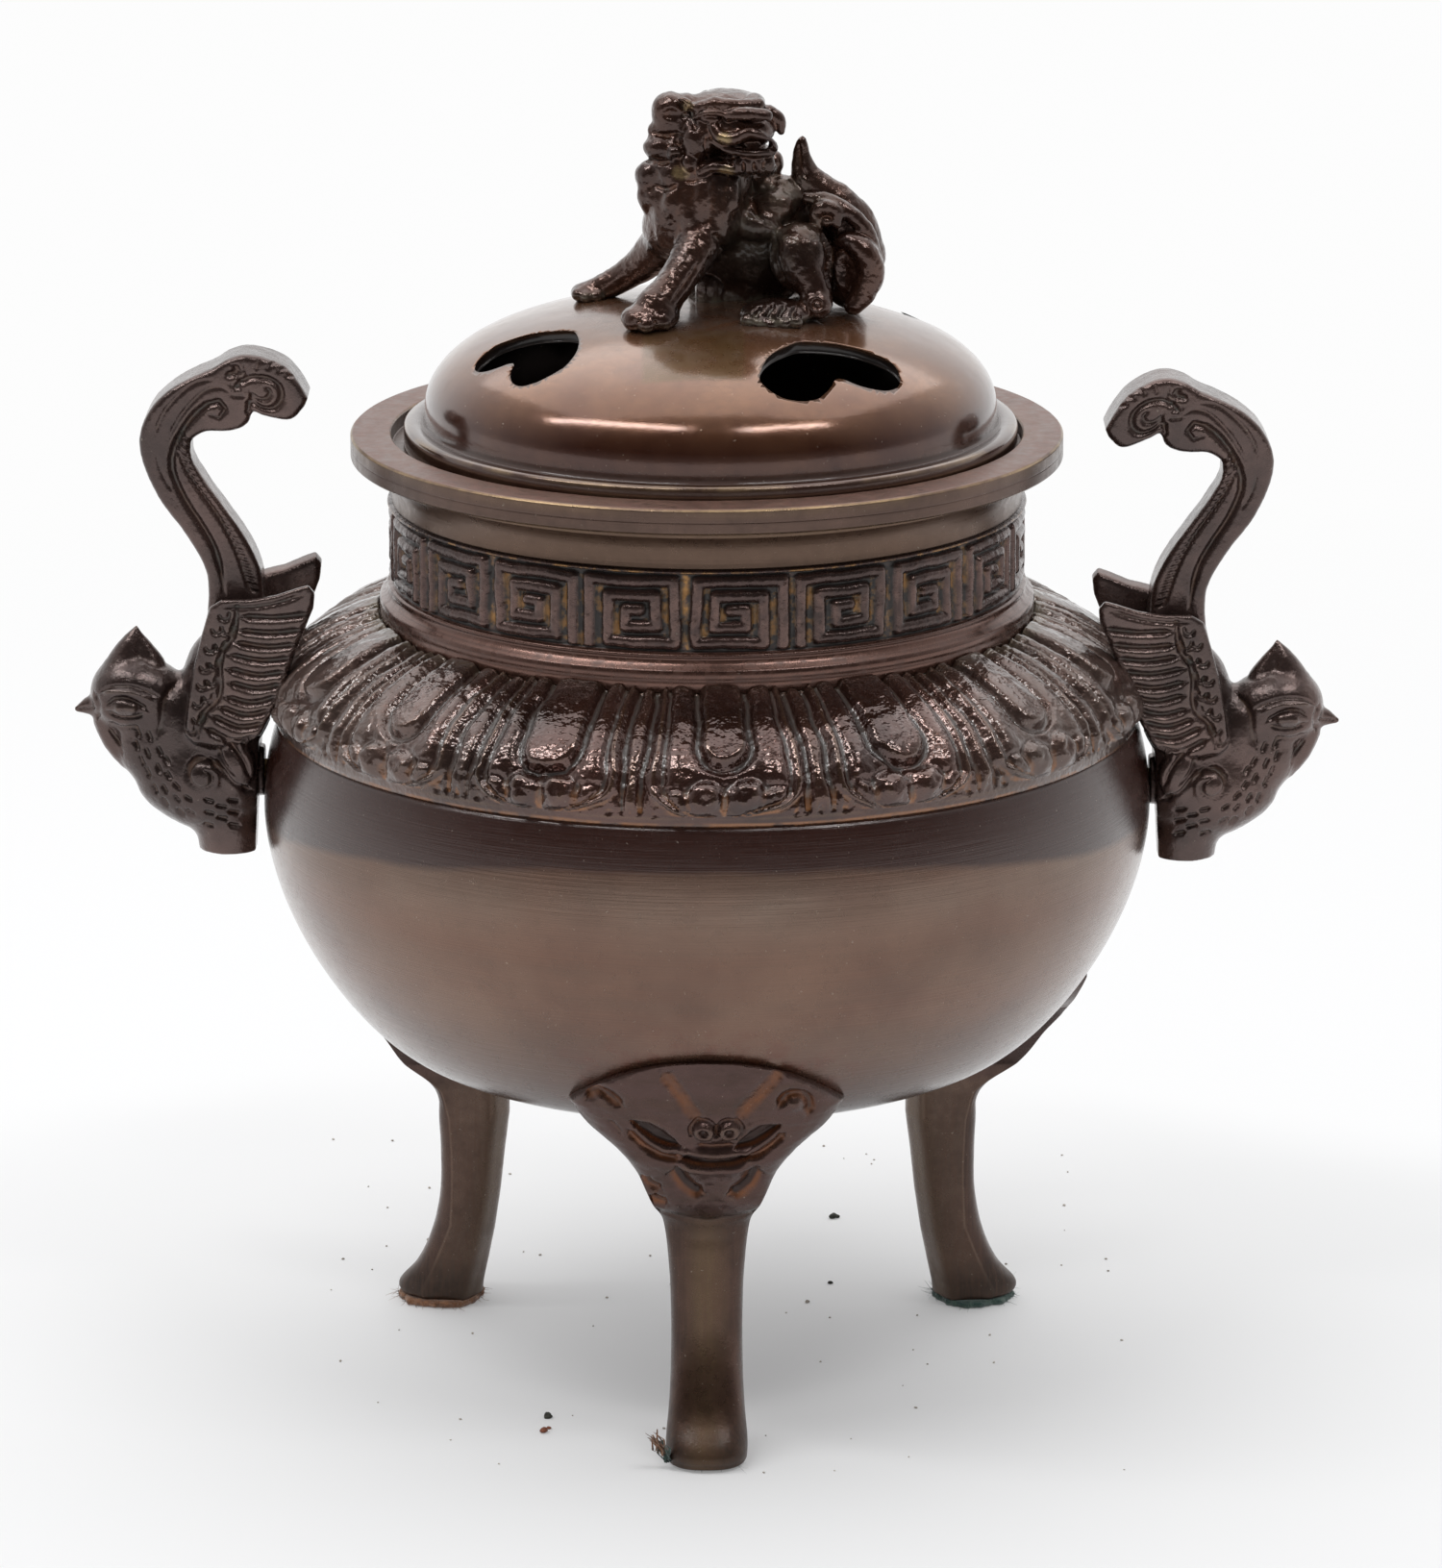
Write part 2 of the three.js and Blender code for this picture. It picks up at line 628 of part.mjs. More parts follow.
// Bird handle: places in shares, along the reach from the bird's back, across the depth, and up the height.
// The body is skinned over level sections, each with its back, front and half depth.
const birdBodyShares = [
  { up: 0, back: 0.01, front: 0.31, half: 0.15 },
  { up: 0.033, back: 0.01, front: 0.31, half: 0.15 },
  { up: 0.036, back: 0, front: 0.33, half: 0.2 },
  { up: 0.055, back: 0, front: 0.43, half: 0.29 },
  { up: 0.08, back: 0, front: 0.55, half: 0.36 },
  { up: 0.12, back: 0, front: 0.63, half: 0.4 },
  { up: 0.17, back: 0, front: 0.67, half: 0.41 },
  { up: 0.2, back: 0, front: 0.76, half: 0.36 },
  { up: 0.245, back: 0.01, front: 0.84, half: 0.32 },
  { up: 0.29, back: 0.12, front: 0.87, half: 0.31 },
  { up: 0.32, back: 0.3, front: 0.88, half: 0.3 },
  { up: 0.35, back: 0.45, front: 0.84, half: 0.25 },
  { up: 0.375, back: 0.52, front: 0.79, half: 0.18 },
  { up: 0.392, back: 0.56, front: 0.73, half: 0.08 },
];
const birdBodySides = 10;
const birdBackShare = 0.6; // power that squares the body off towards its back
const birdShoulderShares = [[0.24, 0, 0.31], [0.18, 0.36, 0.09]];
const birdLimbShares = {
  crest: [[0.62, 0, 0.37, 0.1], [0.62, 0, 0.4, 0.08], [0.625, 0, 0.433, 0.02]],
  beak: [[0.76, 0, 0.3, 0.12], [0.88, 0, 0.29, 0.075], [1, 0, 0.276, 0.015]],
};
// The tail's outer and inner edge, station by station, and its half thickness.
const tailShares = [
  { outer: [0.3, 0.3], inner: [0.08, 0.3], half: 0.2 },
  { outer: [0.25, 0.44], inner: [0, 0.44], half: 0.2 },
  { outer: [0.26, 0.56], inner: [-0.05, 0.54], half: 0.2 },
  { outer: [0.47, 0.695], inner: [0.18, 0.69], half: 0.2 },
  { outer: [0.6, 0.805], inner: [0.31, 0.79], half: 0.21 },
  { outer: [0.49, 0.895], inner: [0.24, 0.818], half: 0.23 },
  { outer: [0.17, 0.965], inner: [0.04, 0.826], half: 0.25 },
  { outer: [0.01, 0.991], inner: [-0.1, 0.832], half: 0.26 },
  { outer: [-0.18, 0.961], inner: [-0.215, 0.843], half: 0.24 },
  { outer: [-0.3, 0.918], inner: [-0.31, 0.876], half: 0.16 },
];
const tailSectionShares = [
  [0, 0.7], [0.1, 1], [0.26, 0.8], [0.74, 0.8], [0.9, 1], [1, 0.7],
];
// The wing's front and back edge from its lowest feather to its top.
const wingFrontShares = [[0.37, 0.235], [0.37, 0.32], [0.3, 0.42], [0.22, 0.495]];
const wingBackShares = [[0.02, 0.235], [-0.12, 0.3], [-0.26, 0.41], [-0.38, 0.53]];
const featherCount = 6;
const wingRidgeShare = 0.4; // from the wing's front to its back, where each feather stands out most
const wingDepthShares = { low: 0.4, high: 0.5, thickness: 0.13, rib: 0.035 };

function splineAt(points, share) {
  return new THREE.SplineCurve(points.map(([x, y]) => new THREE.Vector2(x, y))).getPoint(share);
}

function wing(side) {
  const rings = [];
  const rows = featherCount * 2;
  for (let i = 0; i <= rows; i += 1) {
    const share = i / rows;
    const front = splineAt(wingFrontShares, share);
    const back = splineAt(wingBackShares, share);
    const rib = i % 2 === 1 ? wingDepthShares.rib : 0;
    const outside = THREE.MathUtils.lerp(wingDepthShares.low, wingDepthShares.high, share) + rib;
    const inside = outside - rib - wingDepthShares.thickness;
    const middle = front.clone().lerp(back, wingRidgeShare);
    const place = (at, across) => new THREE.Vector3(at.x, side * across, at.y);
    rings.push([
      place(front, inside), place(front, outside - rib), place(middle, outside),
      place(back, outside), place(back, inside),
    ]);
  }
  return loft(rings);
}

function birdBody() {
  const rings = birdBodyShares.map(({ up, back, front, half }) => {
    const ring = [];
    for (let k = 0; k < birdBodySides; k += 1) {
      const turn = (k / birdBodySides) * 2 * Math.PI;
      const towards = Math.sign(Math.cos(turn));
      const squared = towards * Math.abs(Math.cos(turn)) ** (towards < 0 ? birdBackShare : 1);
      const along = THREE.MathUtils.lerp(back, front, (1 + squared) / 2);
      ring.push(new THREE.Vector3(along, half * Math.sin(turn), up));
    }
    return ring;
  });
  return loft(rings);
}

function tail() {
  const edge = (key) => {
    const points = tailShares.map(({ [key]: [x, z] }) => new THREE.Vector3(x, 0, z));
    return new THREE.CatmullRomCurve3(points);
  };
  const thickness = new THREE.SplineCurve(tailShares.map(({ half }, i) => new THREE.Vector2(i, half)));
  const [outer, inner] = [edge('outer'), edge('inner')];
  const rings = [];
  const steps = tailShares.length + 4;
  for (let i = 0; i <= steps; i += 1) {
    const [from, to] = [outer.getPoint(i / steps), inner.getPoint(i / steps)];
    const half = thickness.getPoint(i / steps).y;
    const at = (side) => ([across, depth]) => from.clone().lerp(to, across).setY(side * half * depth);
    rings.push([...tailSectionShares.map(at(1)), ...[...tailSectionShares].reverse().map(at(-1))]);
  }
  return loft(rings);
}

const handleBossShare = 0.155; // height of the rivet in the bird
const bossReachShare = 0.2; // how deep the boss runs into the bird

function birdHandle(height, foot) {
  const sized = (solid) => solid.scale([handleReach, handleDepth, height]);
  const round = (stations) => {
    const [reachShare, depthShare, heightShare] = [1, handleReach / handleDepth, handleReach / height];
    const flat = stations.map(([x, y, z, radius]) => {
      return [x / reachShare, y / depthShare, z / heightShare, radius];
    });
    return limb(flat, 4).scale(reachShare, depthShare, heightShare);
  };
  const limbs = Object.values(birdLimbShares).map(round);
  const shapes = [birdBody(), ball(...birdShoulderShares), ...limbs, wing(1), wing(-1), tail()];
  const back = bellyRadius + handleStandoff;
  const bird = sized(joined(shapes.map(toSolid))).translate(back, 0, foot);
  const rivetHeight = foot + height * handleBossShare;
  const bossEnd = new THREE.Vector3(back + handleReach * bossReachShare, 0, rivetHeight);
  const boss = toSolid(bar(new THREE.Vector3(bellyRadius - bowlWall, 0, rivetHeight), bossEnd, bossRadius));
  return cutBy(joined([bird, boss]), [handleStop(), handleRivet(0, rivetHeight).hole]);
}

// Rivets: each passes from inside the bowl through its wall into a leg or a bird.
const legAngles = { front: -Math.PI / 2, right_rear: Math.PI / 6, left_rear: (Math.PI * 5) / 6 };

function rivetAt(point, outward, bite) {
  const at = (distance) => point.clone().addScaledVector(outward, distance);
  const headFace = -bowlWall - rivetHeadGap;
  const shank = bar(at(headFace), at(bite - boreGap), rivetRadius);
  const head = bar(at(headFace - rivetHead), at(headFace), rivetHeadRadius);
  const hole = bar(at(-bowlWall - cutOverrun), at(bite), rivetRadius + boreGap);
  return { solid: joined([toSolid(shank), toSolid(head)]), hole: toSolid(hole) };
}

function handleRivet(angle, height) {
  return rivetAt(polar(bellyRadiusAt(height), angle, height), polar(1, angle, 0), handleRivetBite);
}

// A point on the belly at a distance from the axis, and the way straight out of the wall there.
const slopeStepShare = 0.01;

function bellySpot(radius, angle) {
  const step = bellyRadius * slopeStepShare;
  const slope = (bellyHeightAt(radius + step) - bellyHeightAt(radius - step)) / (2 * step);
  return { point: polar(radius, angle, bellyHeightAt(radius)), outward: polar(slope, angle, -1).normalize() };
}

function rivets() {
  const leftHeight = leftHandleFoot + leftHandleHeight * handleBossShare;
  const rightHeight = rightHandleFoot + rightHandleHeight * handleBossShare;
  const list = [
    { name: 'left_handle_rivet', ...handleRivet(Math.PI, leftHeight) },
    { name: 'right_handle_rivet', ...handleRivet(0, rightHeight) },
  ];
  for (const [place, angle] of Object.entries(legAngles)) {
    const { point, outward } = bellySpot(legRivetRadius, angle);
    list.push({ name: `${place}_leg_rivet`, ...rivetAt(point, outward, legRivetBite) });
  }
  return list;
}

// Leg: sections from the foot to the top of the mask. The front, sides and back of a section are given in
// half stem thicknesses from the middle of the foot, its half width in half stem widths. The mask's face is
// round like the bowl, stands off it below and runs into it at the top, and nowhere comes nearer to it than
// the mask's thickness.
const legShares = [
  { up: 0, half: 1.13, front: 1.48, side: 0.16, back: -1.34 },
  { up: 0.03, half: 1.14, front: 1.53, side: 0.2, back: -1.4 },
  { up: 0.09, half: 1.08, front: 0.74, side: -0.38, back: -1.62 },
  { up: 0.17, half: 1.02, front: 0.16, side: -0.79, back: -1.89 },
  { up: 0.28, half: 1, front: -0.25, side: -1.12, back: -2.16 },
  { up: 0.4, half: 1.02, front: -0.33, side: -1.2, back: -2.4 },
  { up: 0.5, half: 1.16, front: -0.3, side: -0.9, back: -2.58 },
  { up: 0.57, half: 1.36, front: 0.1, side: -0.3, back: -2.6 },
  { up: 0.615, half: 1.53, front: 0.6, side: 0.3, back: -2.6 },
  { up: 0.66, half: 1.78, front: 1, side: 0.72, back: -2.6 },
  { up: 0.72, half: 2.13, front: 1.66, side: 1.36, back: -2.6 },
  { up: 0.79, half: 2.8, front: 2.08, side: 1.6, back: -2.6 },
  { up: 0.835, half: 3.38, front: 2.25, side: 1.57, back: -2.6 },
];
const maskCornerShare = 0.868;
const maskFrontShare = 2.36; // where its corner row stands, in half stem thicknesses like the fronts above
const maskArchShare = 0.42;
const maskRowShares = [0, 0.25, 0.5, 0.75, 0.92, 0.995];
const frontFacets = 6;

function legSection(height, half, front, side, back) {
  const hug = bellyRadiusAt(height) + maskThickness;
  const backHalf = Math.min(half, legBack / 2);
  const points = [new THREE.Vector3(back, -backHalf, height)];
  for (let i = 0; i <= frontFacets; i += 1) {
    const turn = (i / frontFacets - 0.5) * Math.PI;
    const across = half * Math.sin(turn);
    const bulge = side + (front - side) * Math.cos(turn);
    const onBelly = Math.sqrt(Math.max(hug ** 2 - across ** 2, 0));
    points.push(new THREE.Vector3(Math.max(bulge, onBelly), across, height));
  }
  points.push(new THREE.Vector3(back, backHalf, height));
  return points;
}

function legSections() {
  const radius = (share) => legFootRadius + (share * legStem) / 2;
  const rings = [];
  for (const { up, half, front, side, back } of legShares) {
    const height = padThickness + legHeight * up;
    rings.push(legSection(height, (legWidth / 2) * half, radius(front), radius(side), radius(back)));
  }
  const top = padThickness + legHeight;
  const corner = padThickness + legHeight * maskCornerShare;
  for (const share of maskRowShares) {
    const height = THREE.MathUtils.lerp(corner, top, share);
    const half = (maskWidth / 2) * (1 - share) ** maskArchShare;
    const front = THREE.MathUtils.lerp(radius(maskFrontShare), bellyRadiusAt(top) + maskThickness, share);
    rings.push(legSection(height, half, front, Math.sqrt(front ** 2 - half ** 2), legFootRadius - legStem));
  }
  return rings;
}

function leg(angle) {
  const holes = rivets().map(({ hole }) => hole);
  const whole = toSolid(loft(legSections()).rotateZ(angle));
  return cutBy(whole, [bellySpace(seatGap), ...holes]);
}

// Pad: worn felt with the outline of the foot, grown or worn back, and with an edge that wanders.
function pad(angle, growth) {
  const foot = legSections()[0];
  const middle = foot.reduce((sum, p) => sum.clone().add(p)).divideScalar(foot.length);
  const outline = foot.map((point, i) => {
    const out = point.clone().sub(middle);
    const edge = out.length() + growth + padRag * Math.sin(i * foot.length + angle);
    return out.setLength(edge).add(middle);
  });
  const shape = new THREE.Shape(outline.map(({ x, y }) => new THREE.Vector2(x, y)));
  const felt = new THREE.ExtrudeGeometry(shape, { depth: padThickness, bevelEnabled: false });
  return toSolid(felt.rotateZ(angle));
}

const censer = new THREE.Group();
const place = (name, solid, look, turn = 0) => {
  const piece = toMesh(name, solid, look);
  piece.rotation.z = turn;
  censer.add(piece);
};

place('bowl', bowl(), bronze);
place('petal_collar', petalCollar(), darkBronze);
place('neck_band', neckBand(), darkBronze);
place('mouth_rim', mouthRim(), bronze);
place('cover', cover(), bronze);
place('finial_lion', finialLion(), darkBronze);
place('finial_washer', finialWasher(), wornBrass);
place('finial_nut', finialNut(), wornBrass);
place('right_bird_handle', birdHandle(rightHandleHeight, rightHandleFoot), darkBronze);
place('left_bird_handle', birdHandle(leftHandleHeight, leftHandleFoot), darkBronze, Math.PI);
for (const [name, angle] of Object.entries(legAngles)) {
  place(`${name}_leg`, leg(angle), bronze);
  const growth = name === 'front' ? -padWear : padRag;
  place(`${name}_pad`, pad(angle, growth), name === 'left_rear' ? brownFelt : greenFelt);
}
for (const { name, solid } of rivets()) {
  place(name, solid, wornBrass);
}

export default censer;
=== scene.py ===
"""A tripod censer in patinated bronze, dressed for a studio photograph.

Every piece is built here in millimetres, in the frame of the CAD model (the front leg points along -Y,
the bird handles along X), and scaled to metres when it becomes a Blender mesh.
"""

import math

import bpy
import numpy as np
import openvdb
from mathutils import Matrix, Vector
from mathutils.geometry import delaunay_2d_cdt


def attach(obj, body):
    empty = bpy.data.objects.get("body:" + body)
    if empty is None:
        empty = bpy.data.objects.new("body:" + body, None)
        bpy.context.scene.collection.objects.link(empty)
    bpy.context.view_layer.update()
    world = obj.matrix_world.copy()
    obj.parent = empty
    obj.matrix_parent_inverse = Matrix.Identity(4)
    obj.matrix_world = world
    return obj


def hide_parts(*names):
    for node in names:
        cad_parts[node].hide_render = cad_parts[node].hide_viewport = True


MM = 0.001
SEGMENTS = 288
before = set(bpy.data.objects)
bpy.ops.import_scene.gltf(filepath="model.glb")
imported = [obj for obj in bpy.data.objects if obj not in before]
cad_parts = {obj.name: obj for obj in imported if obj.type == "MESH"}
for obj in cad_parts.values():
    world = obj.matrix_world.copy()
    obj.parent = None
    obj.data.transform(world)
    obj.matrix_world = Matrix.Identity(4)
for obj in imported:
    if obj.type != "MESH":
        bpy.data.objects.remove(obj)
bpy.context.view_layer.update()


# Small numeric helpers

def smooth(low, high, x):
    """0 below low, 1 above high, and a smooth rise between them."""
    t = np.clip((x - low) / (high - low), 0, 1)
    return t * t * (3 - 2 * t)


def lattice_noise(points, cell, seed):
    """Smooth noise from -1 to 1 over 3-D points, from a seeded lattice of the given cell size."""
    values = np.random.default_rng(seed).uniform(-1, 1, (32, 32, 32))
    p = np.asarray(points, float) / cell + 500.37
    low = np.floor(p).astype(int)
    t = p - low
    t = t * t * (3 - 2 * t)
    total = np.zeros(len(p))
    for i in (0, 1):
        for j in (0, 1):
            for k in (0, 1):
                weight = (
                    (t[:, 0] if i else 1 - t[:, 0])
                    * (t[:, 1] if j else 1 - t[:, 1])
                    * (t[:, 2] if k else 1 - t[:, 2])
                )
                corner = values[(low[:, 0] + i) % 32, (low[:, 1] + j) % 32, (low[:, 2] + k) % 32]
                total += weight * corner
    return total


def rough_noise(points, cell, seed, octaves=3):
    """Noise of several sizes, each half the one before, from about -1 to 1."""
    total, size = 0, 1.0
    for n in range(octaves):
        total = total + size * lattice_noise(points, cell / 2**n, seed + n)
        size *= 0.5
    return total / 1.6


def evenly(points, count, endpoint=True):
    """Points evenly placed along a polyline, by its length over up to three coordinates."""
    length = np.concatenate([[0], np.cumsum(np.linalg.norm(np.diff(points[:, :3], axis=0), axis=1))])
    at = np.linspace(0, length[-1], count, endpoint=endpoint)
    return np.stack([np.interp(at, length, column) for column in points.T], 1)


def spline(points, count):
    """Points evenly placed along a smooth curve through the given ones (Catmull-Rom)."""
    p = np.asarray(points, float)
    ends = np.vstack([2 * p[0] - p[1], p, 2 * p[-1] - p[-2]])
    out = []
    for i in range(1, len(ends) - 2):
        a, b, c, d = ends[i - 1 : i + 3]
        t = np.linspace(0, 1, 12, endpoint=False)[:, None]
        out.append(0.5 * (2 * b + (c - a) * t + (2 * a - 5 * b + 4 * c - d) * t**2 + (3 * b - a - 3 * c + d) * t**3))
    return evenly(np.vstack([*out, p[-1:]]), count)


def to_path(points, path):
    """Distance of each point to a polyline, and the share of the way along it."""
    best = np.full(len(points), 1e9)
    share = np.zeros(len(points))
    path = np.asarray(path, float)
    count = len(path) - 1
    for i in range(count):
        a, d = path[i], path[i + 1] - path[i]
        t = np.clip(((points - a) @ d) / max(d @ d, 1e-12), 0, 1)
        gap = np.linalg.norm(points - a - t[:, None] * d, axis=1)
        closer = gap < best
        best[closer] = gap[closer]
        share[closer] = (i + t[closer]) / count
    return best, share


def circle_angles(count):
    return np.linspace(0, 2 * math.pi, count, endpoint=False)


def circle(angle):
    return np.stack([np.cos(angle), np.sin(angle)], 1)


def polar(radius, angle, height):
    """Points at a radius, an angle and a height, with X, Y and Z along a new last axis."""
    return np.stack(np.broadcast_arrays(radius * np.cos(angle), radius * np.sin(angle), height), -1)


def spun(verts, angle):
    """Points turned about Z by an angle in radians."""
    c, s = math.cos(angle), math.sin(angle)
    return verts @ np.array([[c, s, 0], [-s, c, 0], [0, 0, 1]])


# Mesh helpers

def mesh_normals(verts, faces):
    """Vertex normals of a mesh of triangles or quads."""
    a, b, c = (verts[faces[:, k]] for k in (0, 1, 2))
    normal = np.cross(b - a, c - a)
    if faces.shape[1] == 4:
        d = verts[faces[:, 3]]
        normal = np.cross(c - a, d - b)
    total = np.zeros_like(verts)
    for k in range(faces.shape[1]):
        for axis in range(3):
            total[:, axis] += np.bincount(faces[:, k], normal[:, axis], len(verts))
    return total / np.maximum(np.linalg.norm(total, axis=1, keepdims=True), 1e-12)


def smoothed(values, faces, rounds):
    """Values at vertices, averaged over their neighbours a number of times."""
    n = len(values)
    sides = faces.shape[1]
    a = np.concatenate([faces[:, k] for k in range(sides)])
    b = np.concatenate([faces[:, (k + 1) % sides] for k in range(sides)])
    count = np.bincount(a, minlength=n) + np.bincount(b, minlength=n)
    flat = values.reshape(n, -1).astype(float)
    for _ in range(rounds):
        total = np.zeros_like(flat)
        for k in range(flat.shape[1]):
            total[:, k] = np.bincount(a, flat[b, k], n) + np.bincount(b, flat[a, k], n)
        flat = 0.5 * flat + 0.5 * total / np.maximum(count, 1)[:, None]
    return flat.reshape(values.shape)


def hollow_of(verts, faces, rounds):
    """How far each vertex lies in a hollow (positive) or on a ridge (negative), in mm."""
    normals = mesh_normals(verts, faces)
    return ((smoothed(verts, faces, rounds) - verts) * normals).sum(1)


def grid_faces(rows, columns, flip=False, closed=False):
    """Quads over a grid whose columns close on themselves, and its rows too if closed."""
    r, c = (k.ravel() for k in np.meshgrid(np.arange(rows if closed else rows - 1), np.arange(columns),
        indexing="ij"))
    here, after, d = r * columns, (r + 1) % rows * columns, (c + 1) % columns
    quads = np.stack([here + c, here + d, after + d, after + c], 1)
    return quads[:, ::-1] if flip else quads


def linked(name, data):
    """A new object of the scene that holds the data."""
    made = bpy.data.objects.new(name, data)
    bpy.context.scene.collection.objects.link(made)
    return made


def piece(name, verts, faces, material, body, replaces=(), marks=None):
    """Makes a smooth-shaded mesh of the piece, in metres, that rides on its CAD body."""
    faces = np.asarray(faces)
    mesh = bpy.data.meshes.new(name)
    mesh.vertices.add(len(verts))
    mesh.vertices.foreach_set("co", (np.asarray(verts) * MM).astype(np.float32).ravel())
    sides = faces.shape[1]
    mesh.loops.add(len(faces) * sides)
    mesh.loops.foreach_set("vertex_index", faces.astype(np.int32).ravel())
    mesh.polygons.add(len(faces))
    mesh.polygons.foreach_set("loop_start", np.arange(0, len(faces) * sides, sides, dtype=np.int32))
    mesh.update(calc_edges=True)
    mesh.validate()
    mesh.shade_smooth()
    for key, values in (marks or {}).items():
        attribute = mesh.attributes.new(key, "FLOAT", "POINT")
        attribute.data.foreach_set("value", np.asarray(values, np.float32))
    made = linked(name, mesh)
    mesh.materials.append(material)
    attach(made, body)
    if replaces:
        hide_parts(*replaces)


def revolved(profile):
    """Vertices and quads of a profile of [radius, height] points turned about Z."""
    verts = polar(profile[:, :1], circle_angles(SEGMENTS), profile[:, 1:]).reshape(-1, 3)
    return verts, grid_faces(len(profile), SEGMENTS)


def rounded(profile, radius):
    """A closed profile with each sharp corner turned into an arc of about the given radius."""
    p = np.asarray(profile, float)
    out = []
    for i in range(len(p)):
        before, here, after = p[i - 1], p[i], p[(i + 1) % len(p)]
        u, v = before - here, after - here
        lu, lv = np.linalg.norm(u), np.linalg.norm(v)
        turn = math.pi - math.acos(np.clip(u @ v / (lu * lv), -1, 1))
        if turn < 0.35:
            out.append(here)
            continue
        reach = min(radius * math.tan(turn / 2), lu * 0.45, lv * 0.45)
        a, b = here + u / lu * reach, here + v / lv * reach
        for t in np.linspace(0, 1, 5):
            out.append((1 - t) ** 2 * a + 2 * t * (1 - t) * here + t * t * b)
    return np.array(out)


# Materials

def socket_set(node, **values):
    """Sets sockets by name, with an underscore for each space."""
    for key, value in values.items():
        node.inputs[key.replace("_", " ")].default_value = value


class Nodes:
    """A small builder for a node tree."""

    def __init__(self, tree):
        self.tree = tree

    def node(self, kind, **settings):
        made = self.tree.nodes.new(kind)
        for key, value in settings.items():
            setattr(made, key, value)
        return made

    def link(self, source, target):
        self.tree.links.new(source, target)

    def feed(self, socket, value):
        """Sets a socket to a number or a colour, or links an output to it."""
        if isinstance(value, tuple):
            socket.default_value = (*value, 1)
        elif isinstance(value, (int, float)):
            socket.default_value = value
        else:
            self.link(value, socket)

    def ramp(self, source, low, high, start=0.0, end=1.0):
        made = self.node("ShaderNodeMapRange", clamp=True)
        self.link(source, made.inputs["Value"])
        for key, value in (("From Min", low), ("From Max", high), ("To Min", start), ("To Max", end)):
            made.inputs[key].default_value = value
        return made.outputs["Result"]

    def math(self, operation, a, b):
        made = self.node("ShaderNodeMath", operation=operation)
        self.feed(made.inputs[0], a)
        self.feed(made.inputs[1], b)
        return made.outputs["Value"]

    def times(self, a, b):
        return self.math("MULTIPLY", a, b)

    def plus(self, a, b):
        return self.math("ADD", a, b)

    def split(self, vector):
        made = self.node("ShaderNodeSeparateXYZ")
        self.link(vector, made.inputs["Vector"])
        return made.outputs

    def length(self, vector):
        made = self.node("ShaderNodeVectorMath", operation="LENGTH")
        self.link(vector, made.inputs[0])
        return made.outputs["Value"]

    def shaders(self, share, first, second):
        """Two shaders blended by a share."""
        made = self.node("ShaderNodeMixShader")
        for socket, source in zip(made.inputs, (share, first, second)):
            self.link(source, socket)
        return made.outputs["Shader"]


class Look(Nodes):
    """A material under construction: its place on the object, and the colour and roughness so far."""

    def __init__(self, name):
        self.material = bpy.data.materials.new(name)
        self.material.use_nodes = True
        super().__init__(self.material.node_tree)
        self.shader = self.tree.nodes["Principled BSDF"]
        self.place = self.node("ShaderNodeTexCoord").outputs["Object"]

    def noise(self, per_mm, detail=4, stretch=(1, 1, 1), roughness=0.6):
        """Noise of a given number of features per millimetre, stretched along the axes."""
        mapping = self.node("ShaderNodeMapping")
        mapping.inputs["Scale"].default_value = stretch
        self.link(self.place, mapping.inputs["Vector"])
        made = self.node("ShaderNodeTexNoise")
        socket_set(made, Scale=per_mm / MM, Detail=detail, Roughness=roughness)
        self.link(mapping.outputs["Vector"], made.inputs["Vector"])
        return made.outputs["Fac"]

    def patchy(self, share, noise, *ramp):
        """A share broken up by noise, through a ramp."""
        return self.times(share, self.ramp(self.noise(*noise), *ramp))

    def attribute(self, name):
        return self.node("ShaderNodeAttribute", attribute_name=name).outputs["Fac"]

    def mix(self, share, a, b):
        made = self.node("ShaderNodeMix", data_type="RGBA", blend_type="MIX")
        for index, value in ((0, share), (6, a), (7, b)):
            self.feed(made.inputs[index], value)
        return made.outputs[2]

    def paint(self, share, tint, rougher=0):
        """Lays a tint over the colour so far, and makes the surface rougher there."""
        self.colour = self.mix(share, self.colour, tint)
        if rougher:
            self.roughen(share, rougher)

    def roughen(self, share, amount):
        self.rough = self.plus(self.rough, self.times(share, amount))

    def bump(self, height, distance_mm, after=None):
        made = self.node("ShaderNodeBump")
        socket_set(made, Strength=1.0, Distance=distance_mm * MM)
        self.link(height, made.inputs["Height"])
        if after is not None:
            self.link(after, made.inputs["Normal"])
        return made.outputs["Normal"]

    def finish(self, colour, roughness, normal=None, metallic=1.0, **constant):
        for value, key in ((colour, "Base Color"), (roughness, "Roughness"), (metallic, "Metallic")):
            self.feed(self.shader.inputs[key], value)
        if normal is not None:
            self.link(normal, self.shader.inputs["Normal"])
            self.link(normal, self.shader.inputs["Coat Normal"])
        socket_set(self.shader, **constant)
        return self.material


# Finishes of the bronze

